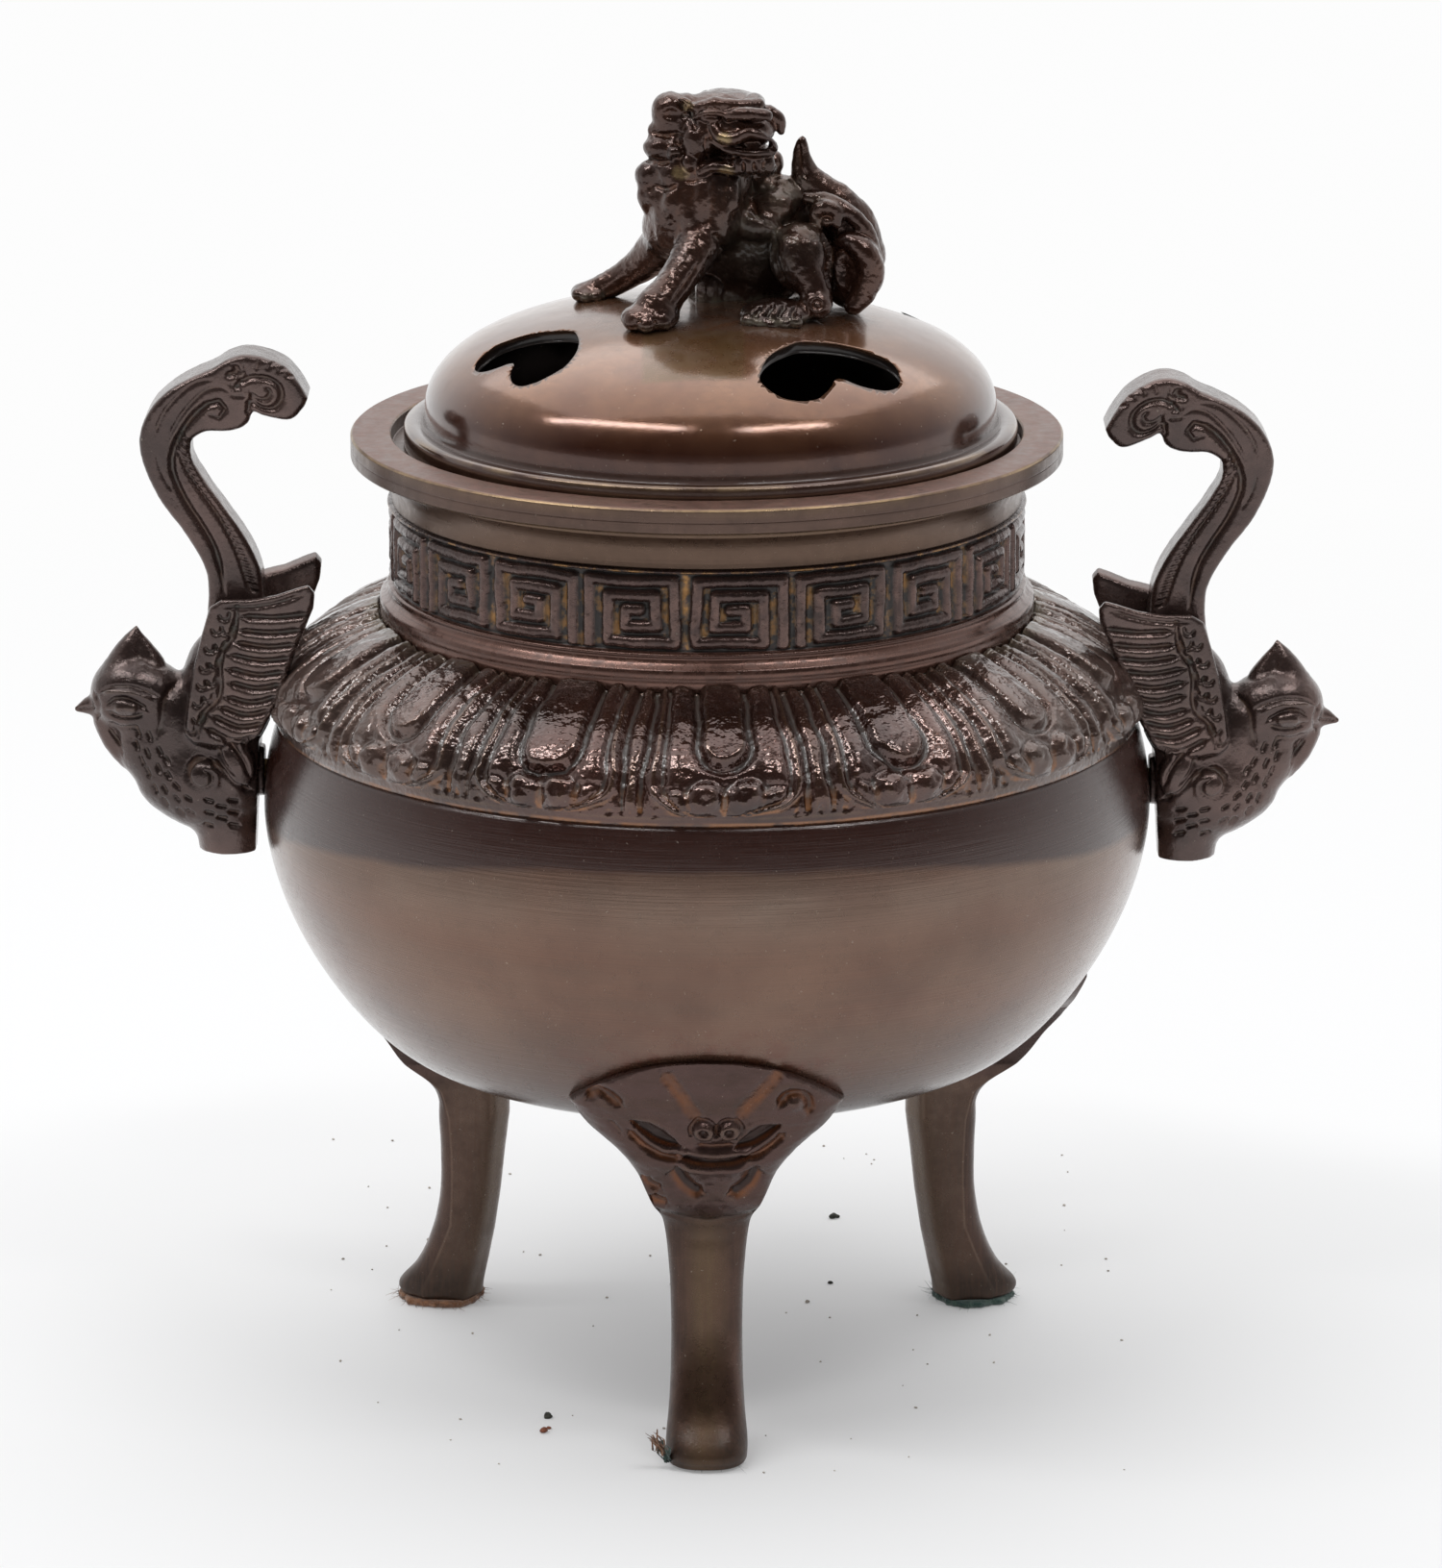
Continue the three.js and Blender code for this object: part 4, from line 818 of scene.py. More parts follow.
def make_cover():
    # points of each vent's outline, and the rounding of its edge above and below
    count, fillet, small = 150, 0.7, 0.3
    rim = circle(circle_angles(SEGMENTS)) * DISC_EDGE
    hearts = []
    for n in range(4):
        turn = VENT_TURN + n * math.pi / 2
        c, s = math.cos(turn), math.sin(turn)
        # the vent seen at the front right is cut wider than the others
        wide = 1.2 if c > 0 and s < 0 else 1
        hearts.append((heart_outline(count, 70 + n) * (1, wide)) @ np.array([[c, s], [-s, c]]))
    outs = [outline_normals(h) for h in hearts]
    top, top_faces = holed_disc(rim, [h + fillet * o for h, o in zip(hearts, outs)], 0.75)
    low, low_faces = holed_disc(rim, [h + small * o for h, o in zip(hearts, outs)], 1.2)

    def raised(points, offset):
        return np.column_stack([points, dome_height(np.linalg.norm(points, axis=1), offset)])

    parts = [raised(top, 0), raised(low, -COVER_WALL)]
    faces = [top_faces, low_faces[:, ::-1] + len(top)]
    total = len(top) + len(low)
    seam = np.linspace(0.985, 0, 26) * math.acos(min((DISC_EDGE / DOME_RADIUS) ** (DOME_POWER / 2), 1))
    curve = np.stack([DOME_RADIUS * np.cos(seam) ** (2 / DOME_POWER),
                      DOME_BASE + DOME_RISE * np.sin(seam) ** (2 / DOME_POWER)], 1)[::-1]
    profile = np.vstack([
        [[34.55, 128.3], [34.75, 126.8], [34.75, 119.1], [34.9, 118.8], [36.15, 118.8], [36.3, 119.0], [36.3, 122.3],
         [38.75, 122.3], [38.95, 122.4], [39.0, 122.7], [39.0, 124.7], [38.9, 125.1], [38.6, 125.35], [37.6, 125.4],
         [37.0, 125.3], [36.75, 125.2], [36.6, 125.3], [36.45, 125.7], [36.37, 126.2]],
        curve,
    ])
    lathe, walls = revolved(profile)
    parts.append(lathe)
    faces.append(triangles(walls) + total)
    c = np.arange(SEGMENTS)
    d = (c + 1) % SEGMENTS
    first, last = total, total + len(lathe) - SEGMENTS
    faces.append(triangles(np.stack([len(top) + c, len(top) + d, first + d, first + c], 1)))
    faces.append(triangles(np.stack([last + c, last + d, d, c], 1)))
    total += len(lathe)
    for n, (heart, out) in enumerate(zip(hearts, outs)):
        rings = []
        for t in np.linspace(0, math.pi / 2, 7)[1:]:
            flat = heart + out * fillet * (1 - math.sin(t))
            rings.append(raised(flat, 0) - [0, 0, fillet * (1 - math.cos(t))])
        for t in np.linspace(math.pi / 2, 0, 4)[:-1]:
            flat = heart + out * small * (1 - math.sin(t))
            rings.append(raised(flat, -COVER_WALL) + [0, 0, small * (1 - math.cos(t))])
        start = SEGMENTS + n * count
        ids = [np.arange(start, start + count)]
        for ring in rings:
            parts.append(ring)
            ids.append(np.arange(total, total + count))
            total += count
        ids.append(np.arange(len(top) + start, len(top) + start + count))
        for a, b in zip(ids, ids[1:]):
            quads = np.stack([np.roll(a, -1), a, b, np.roll(b, -1)], 1)
            faces.append(triangles(quads))
    verts, faces = np.vstack(parts), np.vstack(faces)
    radius = np.hypot(verts[:, 0], verts[:, 1])
    shell = np.abs(verts[:, 2] - dome_height(radius)) < 0.8
    verts[:, 2] += np.where(shell & (radius < 36), 0.07 * rough_noise(verts, 7.0, 81), 0)
    verts[:, 0] += COVER_SLIP
    hollow = hollow_of(verts, faces, 10)
    z = verts[:, 2]
    wall = smooth(0.3, 0.8, dome_height(radius) - z) * (radius < 35)
    edge = groove(radius - 38.85, 0.35) * groove(z - 125.2, 0.3)
    edge += 0.8 * groove(radius - 38.95, 0.2) * groove(z - 122.5, 0.25)
    crease = groove(radius - 36.65, 0.42) * groove(z - 125.3, 0.7)

    def extra(look):
        # painted shade: the lower band of the dome is darkened to a deep red-brown, standing in for a dark reflection
        foot = look.patchy(height_band(look, 120, 131, 2.0), (0.12, 4), 0.35, 0.65, 0.75, 1)
        look.paint(foot, (0.05, 0.012, 0.005))
        olive = look.patchy(box_mask(look, (-1.6, -21.3), (6.3, 6.6), 0.35), (0.3, 4), 0.3, 0.6, 0.55, 1)
        olive = look.times(olive, height_band(look, 120, 150, 1))
        look.paint(olive, (0.125, 0.064, 0.022), 0.12)
        dust = look.patchy(sphere_mask(look, (3, -4, 141), (19, 13, 6), 0.3), (0.5, 4), 0.35, 0.65, 0.15, 0.8)
        look.paint(dust, (0.1, 0.068, 0.052), 0.3)
        look.paint(look.times(look.attribute("crease"), 0.9), (0.03, 0.018, 0.013), 0.4)
        look.paint(look.times(height_band(look, 121, 125.6, 0.15), 0.85), (0.06, 0.027, 0.019))
        shine = look.patchy(look.attribute("edge"), (0.15, 4), 0.4, 0.64, 0.05, 0.8)
        look.paint(shine, (0.3, 0.2, 0.11))
        # painted shade: the walls of the vents and the underside of the dome are made nearly black
        look.paint(look.attribute("wall"), (0.014, 0.007, 0.005), 0.4)

    look = bronze(
        "cover_bronze", (0.21, 0.095, 0.045), (0.12, 0.045, 0.022), (0.15, 0.24), (0.006, 2.0, 5), extra, 0.4,
        grime=((0.1, 0.075, 0.05), 0.05, 0.2), lines=(0.12, (6, 6, 22), 0.008), metal=0.6, coat=(0.8, 0.12),
    )
    marks = {"hollow": hollow, "edge": np.clip(edge, 0, 1), "crease": np.clip(crease, 0, 1), "wall": wall}
    piece("cover_dome", verts, faces, look, "cover", ["cover"], marks)


# Legs: each an upright loft whose upper part spreads into a carved mask against the bowl

# by height: reach of the face, half width, reach of the back, and reach of the sides
FACE = np.array([
    [1, 46.2], [1.25, 46.6], [2.6, 46.55], [5.9, 43.6], [10.2, 41.5], [16, 40], [21.6, 39.7], [27, 39.8],
    [29.6, 39.9], [32.2, 41.2], [34.8, 43.2], [38, 45], [41, 47], [42.6, 47.5], [46, 48.5], [49, 49.7], [52, 50.6],
    [55.7, 51.4],
])
HALF = np.array([
    [1, 4.9], [1.5, 5.1], [3, 5.15], [6, 4.85], [10, 4.6], [16, 4.5], [21, 4.58], [23.7, 4.7], [28.8, 5.15],
    [31.5, 5.65], [33.4, 6.4], [35.8, 7.45], [38.2, 8.5], [39.8, 9.5], [41.4, 10.8], [43, 12.6], [44.9, 14.95],
    [46.7, 16.4], [48.4, 17.15],
])
BACK = np.array([[1, 36], [2.6, 35.8], [5.9, 35], [10.2, 34], [16, 33], [21.6, 32.3], [27, 31.5], [56, 31.5]])
SIDE = np.array([
    [1, 41.3], [5, 39.6], [12, 36.7], [20, 36.4], [27, 36.5], [31, 37.4], [36, 40], [41, 44], [44, 46.2], [50, 45],
])
LEG_TOP, CORNER_HEIGHT, CORNER_HALF, HUG_HEIGHT = 55.7, 48.4, 17.15, 43


def eased(table, z):
    """Smooth reading of a two-column table."""
    fine = spline(table, 400)
    return np.interp(z, fine[:, 0], fine[:, 1])


def stroke(points, path, width, depth, end_share=0.15):
    """A gouged stroke: a V-shaped groove along a curve, fading at its ends."""
    distance, share = to_path(points, spline(path, 24))
    fade = smooth(0, end_share, share) * smooth(1, 1 - end_share, share) * 0.65 + 0.35
    return -depth * fade * groove(distance, width * 0.5 * fade)


# gouged strokes of the mask: path over the face, width, depth and the share over which the ends fade
MASK_STROKES = (
    # brow grooves in a V
    ([(-4.9, 54.5), (-2.7, 51.2), (-0.4, 47.2)], 2.1, 0.72, 0.12),
    ([(10.1, 54.3), (7.3, 51.2), (4.3, 47.3)], 2.1, 0.72, 0.12),
    # under the nose, and the open mouth
    ([(-0.8, 43.9), (1.7, 43.7), (4.2, 43.9)], 0.7, 0.55),
    ([(-2.9, 42.4), (-0.8, 41.3), (1.6, 40.9), (4.0, 41.2), (6.0, 42.4)], 1.4, 1.35, 0.12),
    # under the eyes
    ([(-9.2, 45.6), (-7.2, 43.6), (-4.8, 42.1), (-2.6, 41.5)], 1.3, 0.9, 0.1),
    ([(10.3, 45.0), (8.4, 43.4), (6.8, 42.3), (5.6, 41.8)], 1.3, 0.9, 0.1),
    # chin
    ([(-3.2, 40.4), (-2.5, 38.4), (-1.1, 36.7), (0.3, 36.1)], 2.0, 1.15),
    ([(6.7, 40.3), (6.1, 38.3), (4.9, 36.6), (3.3, 35.9)], 2.1, 1.15),
    # curls near the two upper corners
    ([(-14.2, 49.3), (-13.2, 50.6), (-11.8, 50.5), (-9.7, 48.9)], 1.5, 0.9),
    ([(9.4, 48.8), (10.6, 50.5), (12.4, 50.4), (13.3, 49.0), (13.1, 47.2)], 1.5, 0.95),
    # small side cuts
    ([(-7.4, 38.6), (-6.3, 37.2), (-5.0, 36.6)], 1.4, 0.9),
    ([(-6.4, 35.5), (-5.3, 34.8), (-4.2, 34.6)], 1.4, 0.9),
    ([(-11.5, 46.8), (-10.4, 45.6), (-9.9, 44.8)], 0.7, 0.3),
)


def mask_relief(tau, z):
    """Carved face of a leg, in mm outward, over its width and height."""
    p = np.stack([tau.ravel() + 0.6, z.ravel()], 1)
    u, w = p.T
    nothing = np.zeros(len(p))
    total = sum(stroke(p, *cut) for cut in MASK_STROKES)
    # nostrils: two round curls with a drilled hollow
    for x in (0.25, 3.4):
        r = np.hypot(u - x, (w - 46.0) * 1.1)
        total += 0.75 * smooth(1.55, 0.9, r) - 1.0 * groove(np.hypot(u - x, w - 45.85), 0.62)
        total += -0.55 * groove(r - 1.65, 0.3) * (w > 45.2)
    # nose bridge, and the lips above and below the mouth
    total += 0.35 * groove(u - 1.8, 1.1) * smooth(48, 47, w) * smooth(44.2, 45, w)
    total += 0.45 * groove(w - 42.6 - 0.02 * (u - 1.6) ** 2, 0.5) * smooth(5, 3.4, np.abs(u - 1.6))
    total += 0.4 * groove(w - 40.1 - 0.02 * (u - 1.6) ** 2, 0.55) * smooth(4.6, 3.0, np.abs(u - 1.6))
    # eyes: almond hollows with a raised edge
    left_eye = [(-8.7, 46.9), (-6.9, 45.9), (-4.8, 44.6), (-2.8, 43.6)]
    right_eye = [(9.6, 46.2), (8.0, 45.6), (6.0, 44.4), (4.3, 43.5)]
    for path in (left_eye, right_eye):
        distance, share = to_path(p, spline(path, 24))
        almond = 1.3 * np.sin(np.clip(share, 0.03, 0.97) * math.pi) ** 0.6
        total += -1.15 * smooth(almond, almond * 0.3, distance) * (almond > 0.2)
        total += 0.35 * groove(distance - almond - 0.55, 0.5) * smooth(0, 0.2, share) * smooth(1, 0.8, share)
    # the round of the right corner curl
    total += 0.4 * groove(np.hypot(u - 11.6, w - 49.4), 0.9)
    # chisel marks across
    spots = np.column_stack([u * 0.35, nothing, w])
    total += 0.085 * rough_noise(spots, 0.55, 91, 2)
    total += 0.09 * rough_noise(np.column_stack([p, nothing]), 1.4, 95)
    total *= smooth(31.9, 33.2, w)
    # ragged step where the mask ends on the stem
    ragged = 31.9 + 0.35 * lattice_noise(np.column_stack([u, nothing, nothing]), 1.6, 97)
    ragged = ragged + 0.03 * (u - 1) ** 2
    total += -0.65 * groove(w - ragged, 0.42) - 0.3 * smooth(ragged, ragged - 0.5, w) * smooth(26.5, 30.5, w)
    return total.reshape(tau.shape)


def make_leg(name, turn_degrees, seed, look, proud=0, wrap=5, sole=0):
    """A leg at its turn; proud pushes its mask out, wrap bends the sides back and sole lowers the foot, in mm."""
    columns, back_columns = 190, 16
    z = np.concatenate([np.linspace(1.0, 1.6, 4), np.linspace(1.8, 30, 80)[:-1], np.linspace(30, LEG_TOP, 128)])
    half = eased(HALF, np.minimum(z, CORNER_HEIGHT))
    above = np.clip((z - CORNER_HEIGHT) / (LEG_TOP - CORNER_HEIGHT), 0, 1)
    half = np.where(z > CORNER_HEIGHT, CORNER_HALF * (1 - above) ** 0.42, half)
    half = np.maximum(half, 0.05)
    half[:2] *= [0.95, 0.985]
    face = eased(FACE, z) + proud * smooth(29, 38, z) * smooth(54, 48, z)
    belly = belly_radius(z)
    s = np.sin(np.linspace(-0.5, 0.5, columns) * math.pi)
    tau = half[:, None] * s
    drop_power = np.interp(z, [0, 26, 36, 46], [2.6, 2.6, 2.2, 2.0])[:, None]
    round_off = (1 - np.clip(np.abs(s), 0, 1) ** drop_power) ** (1 / drop_power)
    side = np.interp(z, *SIDE.T)
    bulge = side[:, None] + (face - side)[:, None] * round_off
    hug = np.sqrt(np.maximum(belly[:, None] ** 2 - tau**2, 0))
    rim_share = (1 - np.clip(np.abs(s), 0, 1) ** 9) ** 0.5
    thick = (0.15 + 0.95 * rim_share) * np.sqrt(np.clip((LEG_TOP - z) / 0.9, 0, 1))[:, None]
    arc = np.sqrt(np.maximum((face[:, None]) ** 2 - tau**2, 0)) - 0.012 * np.abs(tau) ** 1.6
    stand = np.where(z[:, None] > 44.5, hug + thick, 0)
    edge = np.maximum(stand, arc - wrap * smooth(33, 44, z)[:, None])
    upper = edge + (np.maximum(arc, stand) - edge) * rim_share
    flat = smooth(30.5, 34.5, z)[:, None]
    front = bulge * (1 - flat) + upper * flat
    z = z - sole * smooth(4, 1, z)
    z_grid = np.broadcast_to(z[:, None], tau.shape)
    relief = mask_relief(tau, z_grid) * smooth(1.0, 0.97, np.abs(s))
    spots = np.column_stack([tau.ravel(), front.ravel(), z_grid.ravel()])
    relief = relief + (0.05 * rough_noise(spots, 4.0, seed)).reshape(tau.shape)
    cut = np.clip(-relief, 0, 2) * smooth(33, 34.5, z_grid)
    # the stroke depth follows the slope of the face, which leans out over the stem
    lean = np.gradient(face, z)[:, None]
    size = np.sqrt(1 + lean**2)
    out_z = -np.clip(lean, -1, 2) / size * relief * smooth(33, 36, z_grid) * smooth(54, 50, z_grid)
    front = front + relief / np.maximum(size, 1)
    shrink = np.interp(z, [1, 1.35, 1.9], [0.45, 0.12, 0.0])[:, None]
    front = front - shrink * 1.2
    back = np.interp(z, *BACK.T)
    hugs = z > HUG_HEIGHT
    under = np.where(hugs, belly - 0.4, back)
    back_half = np.minimum(half * 0.99, np.where(hugs, half * 0.985, 2.6))
    t = np.linspace(1, -1, back_columns)
    back_tau = back_half[:, None] * t
    hugging = np.sqrt(np.maximum(under[:, None] ** 2 - back_tau**2, 0))
    back_bow = np.where(hugs[:, None], hugging, back[:, None] + 0.4 * t**4)
    ring_tau = np.hstack([tau, back_tau])
    ring_rho = np.hstack([front, back_bow])
    ring_z = np.hstack([z_grid + out_z, np.broadcast_to(z[:, None], back_tau.shape)])
    verts = np.stack([ring_tau, -ring_rho, ring_z], 2).reshape(-1, 3)
    rows, width = ring_tau.shape
    faces = triangles(grid_faces(rows, width))
    hubs = np.array([0, -41.0, z[0]]), np.array([0, -(belly[-1] + 0.1), LEG_TOP])
    verts = np.vstack([verts, hubs])
    c = np.arange(width)
    d = (c + 1) % width
    low, top = len(verts) - 2, len(verts) - 1
    end = (rows - 1) * width
    sole_faces = np.stack([np.full(width, low), d, c], 1)
    top_faces = np.stack([np.full(width, top), end + c, end + d], 1)
    faces = np.vstack([faces, sole_faces, top_faces])
    cut = np.append(np.hstack([cut, np.zeros(back_tau.shape)]).ravel(), [0, 0])
    hollow = hollow_of(verts, faces, 16)
    radial = np.hypot(verts[:, 0], verts[:, 1])
    seam = smooth(0.75, 0.1, radial - belly_radius(verts[:, 2])) * smooth(44.5, 46.5, verts[:, 2])
    marks = {"hollow": hollow, "seam": seam, "across": verts[:, 0], "cut": cut}
    verts = spun(verts, math.radians(turn_degrees))
    piece(f"{name}_carved", verts, faces, look, "censer", [name], marks)


def make_legs():
    def extra(look):
        carved = height_band(look, 33, 60, 1.0)
        residue = look.patchy(look.ramp(look.attribute("cut"), 0.22, 0.6), (0.5, 4), 0.3, 0.6, 0.4, 1)
        look.paint(look.patchy(carved, (0.3, 4, (0.5, 0.5, 2)), 0.35, 0.6, 0.2, 0.9), (0.078, 0.04, 0.034))
        look.paint(residue, (0.15, 0.052, 0.018))
        # painted shade: the deepest cuts of the mask are darkened nearly to black
        look.paint(look.ramp(look.attribute("cut"), 0.78, 1.0), (0.03, 0.012, 0.008))
        # painted shade: the foot is darkened and made rougher, which damps the highlight on its upturned flare
        foot = height_band(look, -5, 5.5, 2)
        look.paint(look.times(foot, 0.8), (0.036, 0.021, 0.014))
        look.roughen(foot, 0.25)
        stem = height_band(look, -5, 31, 3)
        across = look.ramp(look.math("ABSOLUTE", look.attribute("across"), 0), 0.6, 3.2, 1, 0)
        centre = look.patchy(look.times(stem, across), (0.12, 4, (1, 1, 0.3)), 0.35, 0.6, 0.35, 1)
        look.paint(centre, (0.105, 0.062, 0.031))
        streaks = look.noise(0.5, 3, (4, 4, 0.12), 0.7)
        look.paint(look.times(stem, look.ramp(streaks, 0.4, 0.65, 0, 0.5)), (0.09, 0.044, 0.027))
        seam = look.patchy(look.attribute("seam"), (0.35, 4), 0.4, 0.6, 0.3, 1)
        look.paint(seam, (0.1, 0.035, 0.016))

    look = bronze(
        "leg_bronze", (0.07, 0.035, 0.024), (0.04, 0.019, 0.012), (0.22, 0.4), (0.03, 2.2, 5), extra, 0.35,
        grime=((0.045, 0.022, 0.014), 0.06, 0.3), wear=((0.25, 0.17, 0.12), -0.35, -0.1, 0.3),
    )
    make_leg("front_leg", 0, 101, look, sole=0.75)
    make_leg("right_rear_leg", 120, 103, look, 2.2, 0)
    make_leg("left_rear_leg", 240, 105, look, 0.6, 0)


# Sculpting on a grid of distances

class Clay:
    """A block of distances to a surface, in mm and negative inside, that shapes are blended into."""

    def __init__(self, low, high, cell):
        self.cell = cell
        self.low = np.array(low, float)
        self.shape = np.ceil((np.array(high) - self.low) / cell).astype(int) + 1
        self.field = np.full(self.shape, 3.0, np.float32)

    def axes(self, low, high):
        first = np.clip(np.floor((np.array(low) - self.low) / self.cell).astype(int), 0, self.shape - 1)
        last = np.clip(np.ceil((np.array(high) - self.low) / self.cell).astype(int) + 1, 1, self.shape)
        window = tuple(slice(a, b) for a, b in zip(first, last))
        lines = [self.low[k] + self.cell * np.arange(first[k], last[k]) for k in range(3)]
        x, y, z = np.meshgrid(*lines, indexing="ij", sparse=True)
        return window, x.astype(np.float32), y.astype(np.float32), z.astype(np.float32)

    def blend(self, window, distance, soft, cut=False):
        here = self.field[window]
        if cut:
            gap = np.maximum(soft - np.abs(here + distance), 0) / soft
            self.field[window] = np.maximum(here, -distance) + gap**2 * soft * 0.25
            return
        gap = np.maximum(soft - np.abs(here - distance), 0) / soft
        self.field[window] = np.minimum(here, distance) - gap**2 * soft * 0.25

    def ball(self, centre, radii, soft, cut=False):
        reach = max(radii) + soft + 0.6
        window, x, y, z = self.axes(np.array(centre) - reach, np.array(centre) + reach)
        x, y, z = x - centre[0], y - centre[1], z - centre[2]
        a, b, c = radii
        k = np.sqrt((x / a) ** 2 + (y / b) ** 2 + (z / c) ** 2)
        slope = np.sqrt((x / a**2) ** 2 + (y / b**2) ** 2 + (z / c**2) ** 2)
        self.blend(window, k * (k - 1) / np.maximum(slope, 1e-4), soft, cut)

    def limb(self, stations, soft, cut=False, flat=1.0, curve=True):
        """A round bar of changing radius through stations of x, y, z, radius; flat squeezes it along Y."""
        p = spline(stations, max(len(stations) * 5, 10)) if curve and len(stations) > 2 else np.array(stations, float)
        reach = p[:, 3].max() * max(1, 1 / flat) + soft + 0.6
        window, x, y, z = self.axes(p[:, :3].min(0) - reach, p[:, :3].max(0) + reach)
        best = None
        for a, b in zip(p, p[1:]):
            d = b - a
            size = d[0] ** 2 + (flat * d[1]) ** 2 + d[2] ** 2
            t = (x - a[0]) * d[0] + (y - a[1]) * d[1] * flat * flat + (z - a[2]) * d[2]
            t = np.clip(t / max(size, 1e-9), 0, 1)
            gap = (x - a[0] - t * d[0]) ** 2 + (flat * (y - a[1] - t * d[1])) ** 2 + (z - a[2] - t * d[2]) ** 2
            gap = np.sqrt(gap) - (a[3] + t * d[3])
            best = gap if best is None else np.minimum(best, gap)
        self.blend(window, best.astype(np.float32), soft, cut)

    def plate(self, outline, middle, half, edge, soft, shear, low_y, high_y):
        """A plate cut to an outline in X and Z; middle and half (of its thickness) may be functions of x and z."""
        p = np.array(outline, float)
        low = [p[:, 0].min() - 1.2, low_y, p[:, 1].min() - 1.2 - abs(shear) * 9]
        high = [p[:, 0].max() + 1.2, high_y, p[:, 1].max() + 1.2 + abs(shear) * 9]
        window, x, y, z = self.axes(low, high)
        grid_x, grid_w = np.meshgrid(x.ravel(), np.arange(low[2] - 3, high[2] + 3, self.cell), indexing="ij")
        flat = np.stack([grid_x.ravel(), grid_w.ravel()], 1)
        loop = np.vstack([p, p[:1]])
        distance, _ = to_path(flat, loop)
        sign = np.where(inside_outline(flat, p), -1, 1)
        plan = (distance * sign).reshape(grid_x.shape)
        heights = grid_w[0]
        w = z - shear * np.abs(y)
        at = np.clip((w - heights[0]) / self.cell, 0, len(heights) - 1.001)
        index = at.astype(int)
        share = at - index
        rows = np.arange(plan.shape[0])[:, None, None]
        across = plan[rows, index] * (1 - share) + plan[rows, np.minimum(index + 1, len(heights) - 1)] * share
        centre = middle(x, z) if callable(middle) else middle
        thick = half(x, z) if callable(half) else half
        a = across + edge
        b = np.abs(y - centre) - thick + edge
        distance = np.minimum(np.maximum(a, b), 0) + np.hypot(np.maximum(a, 0), np.maximum(b, 0)) - edge
        self.blend(window, distance.astype(np.float32), soft)

    def mesh(self):
        """Vertices and triangles of the surface, in mm, facing outward."""
        grid = openvdb.FloatGrid(3.0)
        grid.copyFromArray(np.clip(self.field, -3, 3))
        grid.transform = openvdb.createLinearTransform(self.cell)
        points, tris, quads = grid.convertToPolygons(0.0, 0.0)
        verts = points.astype(float) + self.low
        faces = triangles(quads.astype(int)) if len(quads) else np.zeros((0, 3), int)
        if len(tris):
            faces = np.vstack([faces, tris.astype(int)])
        a, b, c = (verts[faces[:, k]] for k in (0, 1, 2))
        if np.einsum("ij,ij->i", a, np.cross(b, c)).sum() < 0:
            faces = faces[:, ::-1]
        return verts, faces


def carve(verts, faces, plan, cuts, where):
    """Pushes vertices along their normals, where told, by gouged or raised strokes drawn in a flat view."""
    normals = mesh_normals(verts, faces)
    total = np.zeros(len(verts))
    for path, width, depth in cuts:
        path = np.array(path, float)
        low, high = path.min(0) - width * 2, path.max(0) + width * 2
        near = ((plan > low) & (plan < high)).all(1) & where
        if near.any():
            total[near] += stroke(plan[near], path, width, depth)
    return verts + normals * total[:, None]


# Bird handles

TAIL_OUTER = [
    (63.9, 99.0), (63.6, 103.9), (64.3, 107.1), (66.5, 111.0), (69.4, 115.0), (71.3, 119.1), (72.0, 122.3),
    (71.6, 125.0), (70.1, 127.8), (67.8, 129.9), (65.2, 131.4), (62.5, 132.6), (60.7, 133.7), (58.5, 134.3),
    (55.9, 133.9), (53.4, 132.8), (51.7, 130.9), (50.5, 128.7),
]
TAIL_INNER = [
    (50.9, 127.6), (52.1, 126.2), (53.2, 125.8), (54.5, 126.0), (56.3, 126.4), (57.5, 126.9), (58.1, 125.5),
    (59.4, 124.6), (61.2, 124.3), (63.4, 124.3), (65.2, 123.3), (65.5, 122.3), (65.3, 120.5), (63.8, 117.8),
    (61.6, 114.6), (59.4, 111.4), (57.9, 108.7), (56.8, 105.5), (56.5, 100.0),
]
WING = [
    (63.2, 100.6), (61.6, 101.6), (58.1, 101.6), (54.5, 102.2), (51.9, 103.1), (50.5, 103.5), (49.7, 102.5),
    (49.9, 100.6), (50.8, 98.4), (51.9, 95.7), (52.8, 93.4), (53.6, 90.7), (54.5, 88.6), (55.8, 86.1), (57.0, 83.8),
    (59.5, 82.4), (63.0, 82.2), (65.6, 82.7), (66.7, 83.8), (66.3, 87.0), (65.8, 90.2), (65.2, 93.4), (64.3, 97.0),
]
WING_SCALES = [
    (61.3, 99.6), (60.9, 97.6), (62.3, 97.8), (62.0, 95.6), (63.2, 95.4), (62.9, 93.3), (63.9, 92.9), (63.2, 91.0),
    (64.3, 90.6), (63.6, 88.9), (64.9, 88.2), (65.0, 86.1), (65.9, 84.6),
]
BREAST_SCALES = [
    (72.9, 84.1), (73.1, 82.4), (71.4, 83.6), (70.1, 81.6), (71.7, 81.4), (70.3, 79.3), (69.0, 78.4), (69.6, 76.6),
    (68.0, 77.0), (66.5, 75.3), (63.8, 75.0), (60.7, 75.0), (63.8, 73.3), (60.7, 73.4), (66.3, 73.4), (64.0, 71.7),
    (60.7, 71.7), (71.8, 78.8), (70.9, 76.6), (69.6, 74.8), (67.6, 73.4), (68.0, 75.2), (62.2, 74.2), (62.2, 72.6),
    (72.5, 80.3), (69.2, 80.4),
]
# the wing's outline leans with the distance from the middle plane
SHEAR = 0.255
BIRD_BOX = (48.4, -10.2, 67.2), (82.4, 10.2, 136.2)
BOSS_HEIGHT = 79.1
LEFT_FOOT, LEFT_HEIGHT, RIGHT_FOOT, RIGHT_HEIGHT = 68.7, 66.8, 67.8, 64.6


def wing_middle(x, z):
    return 5.3 + 0.16 * np.clip(63.5 - x, 0, 20) + 0.045 * np.clip(z - 84, 0, 25)


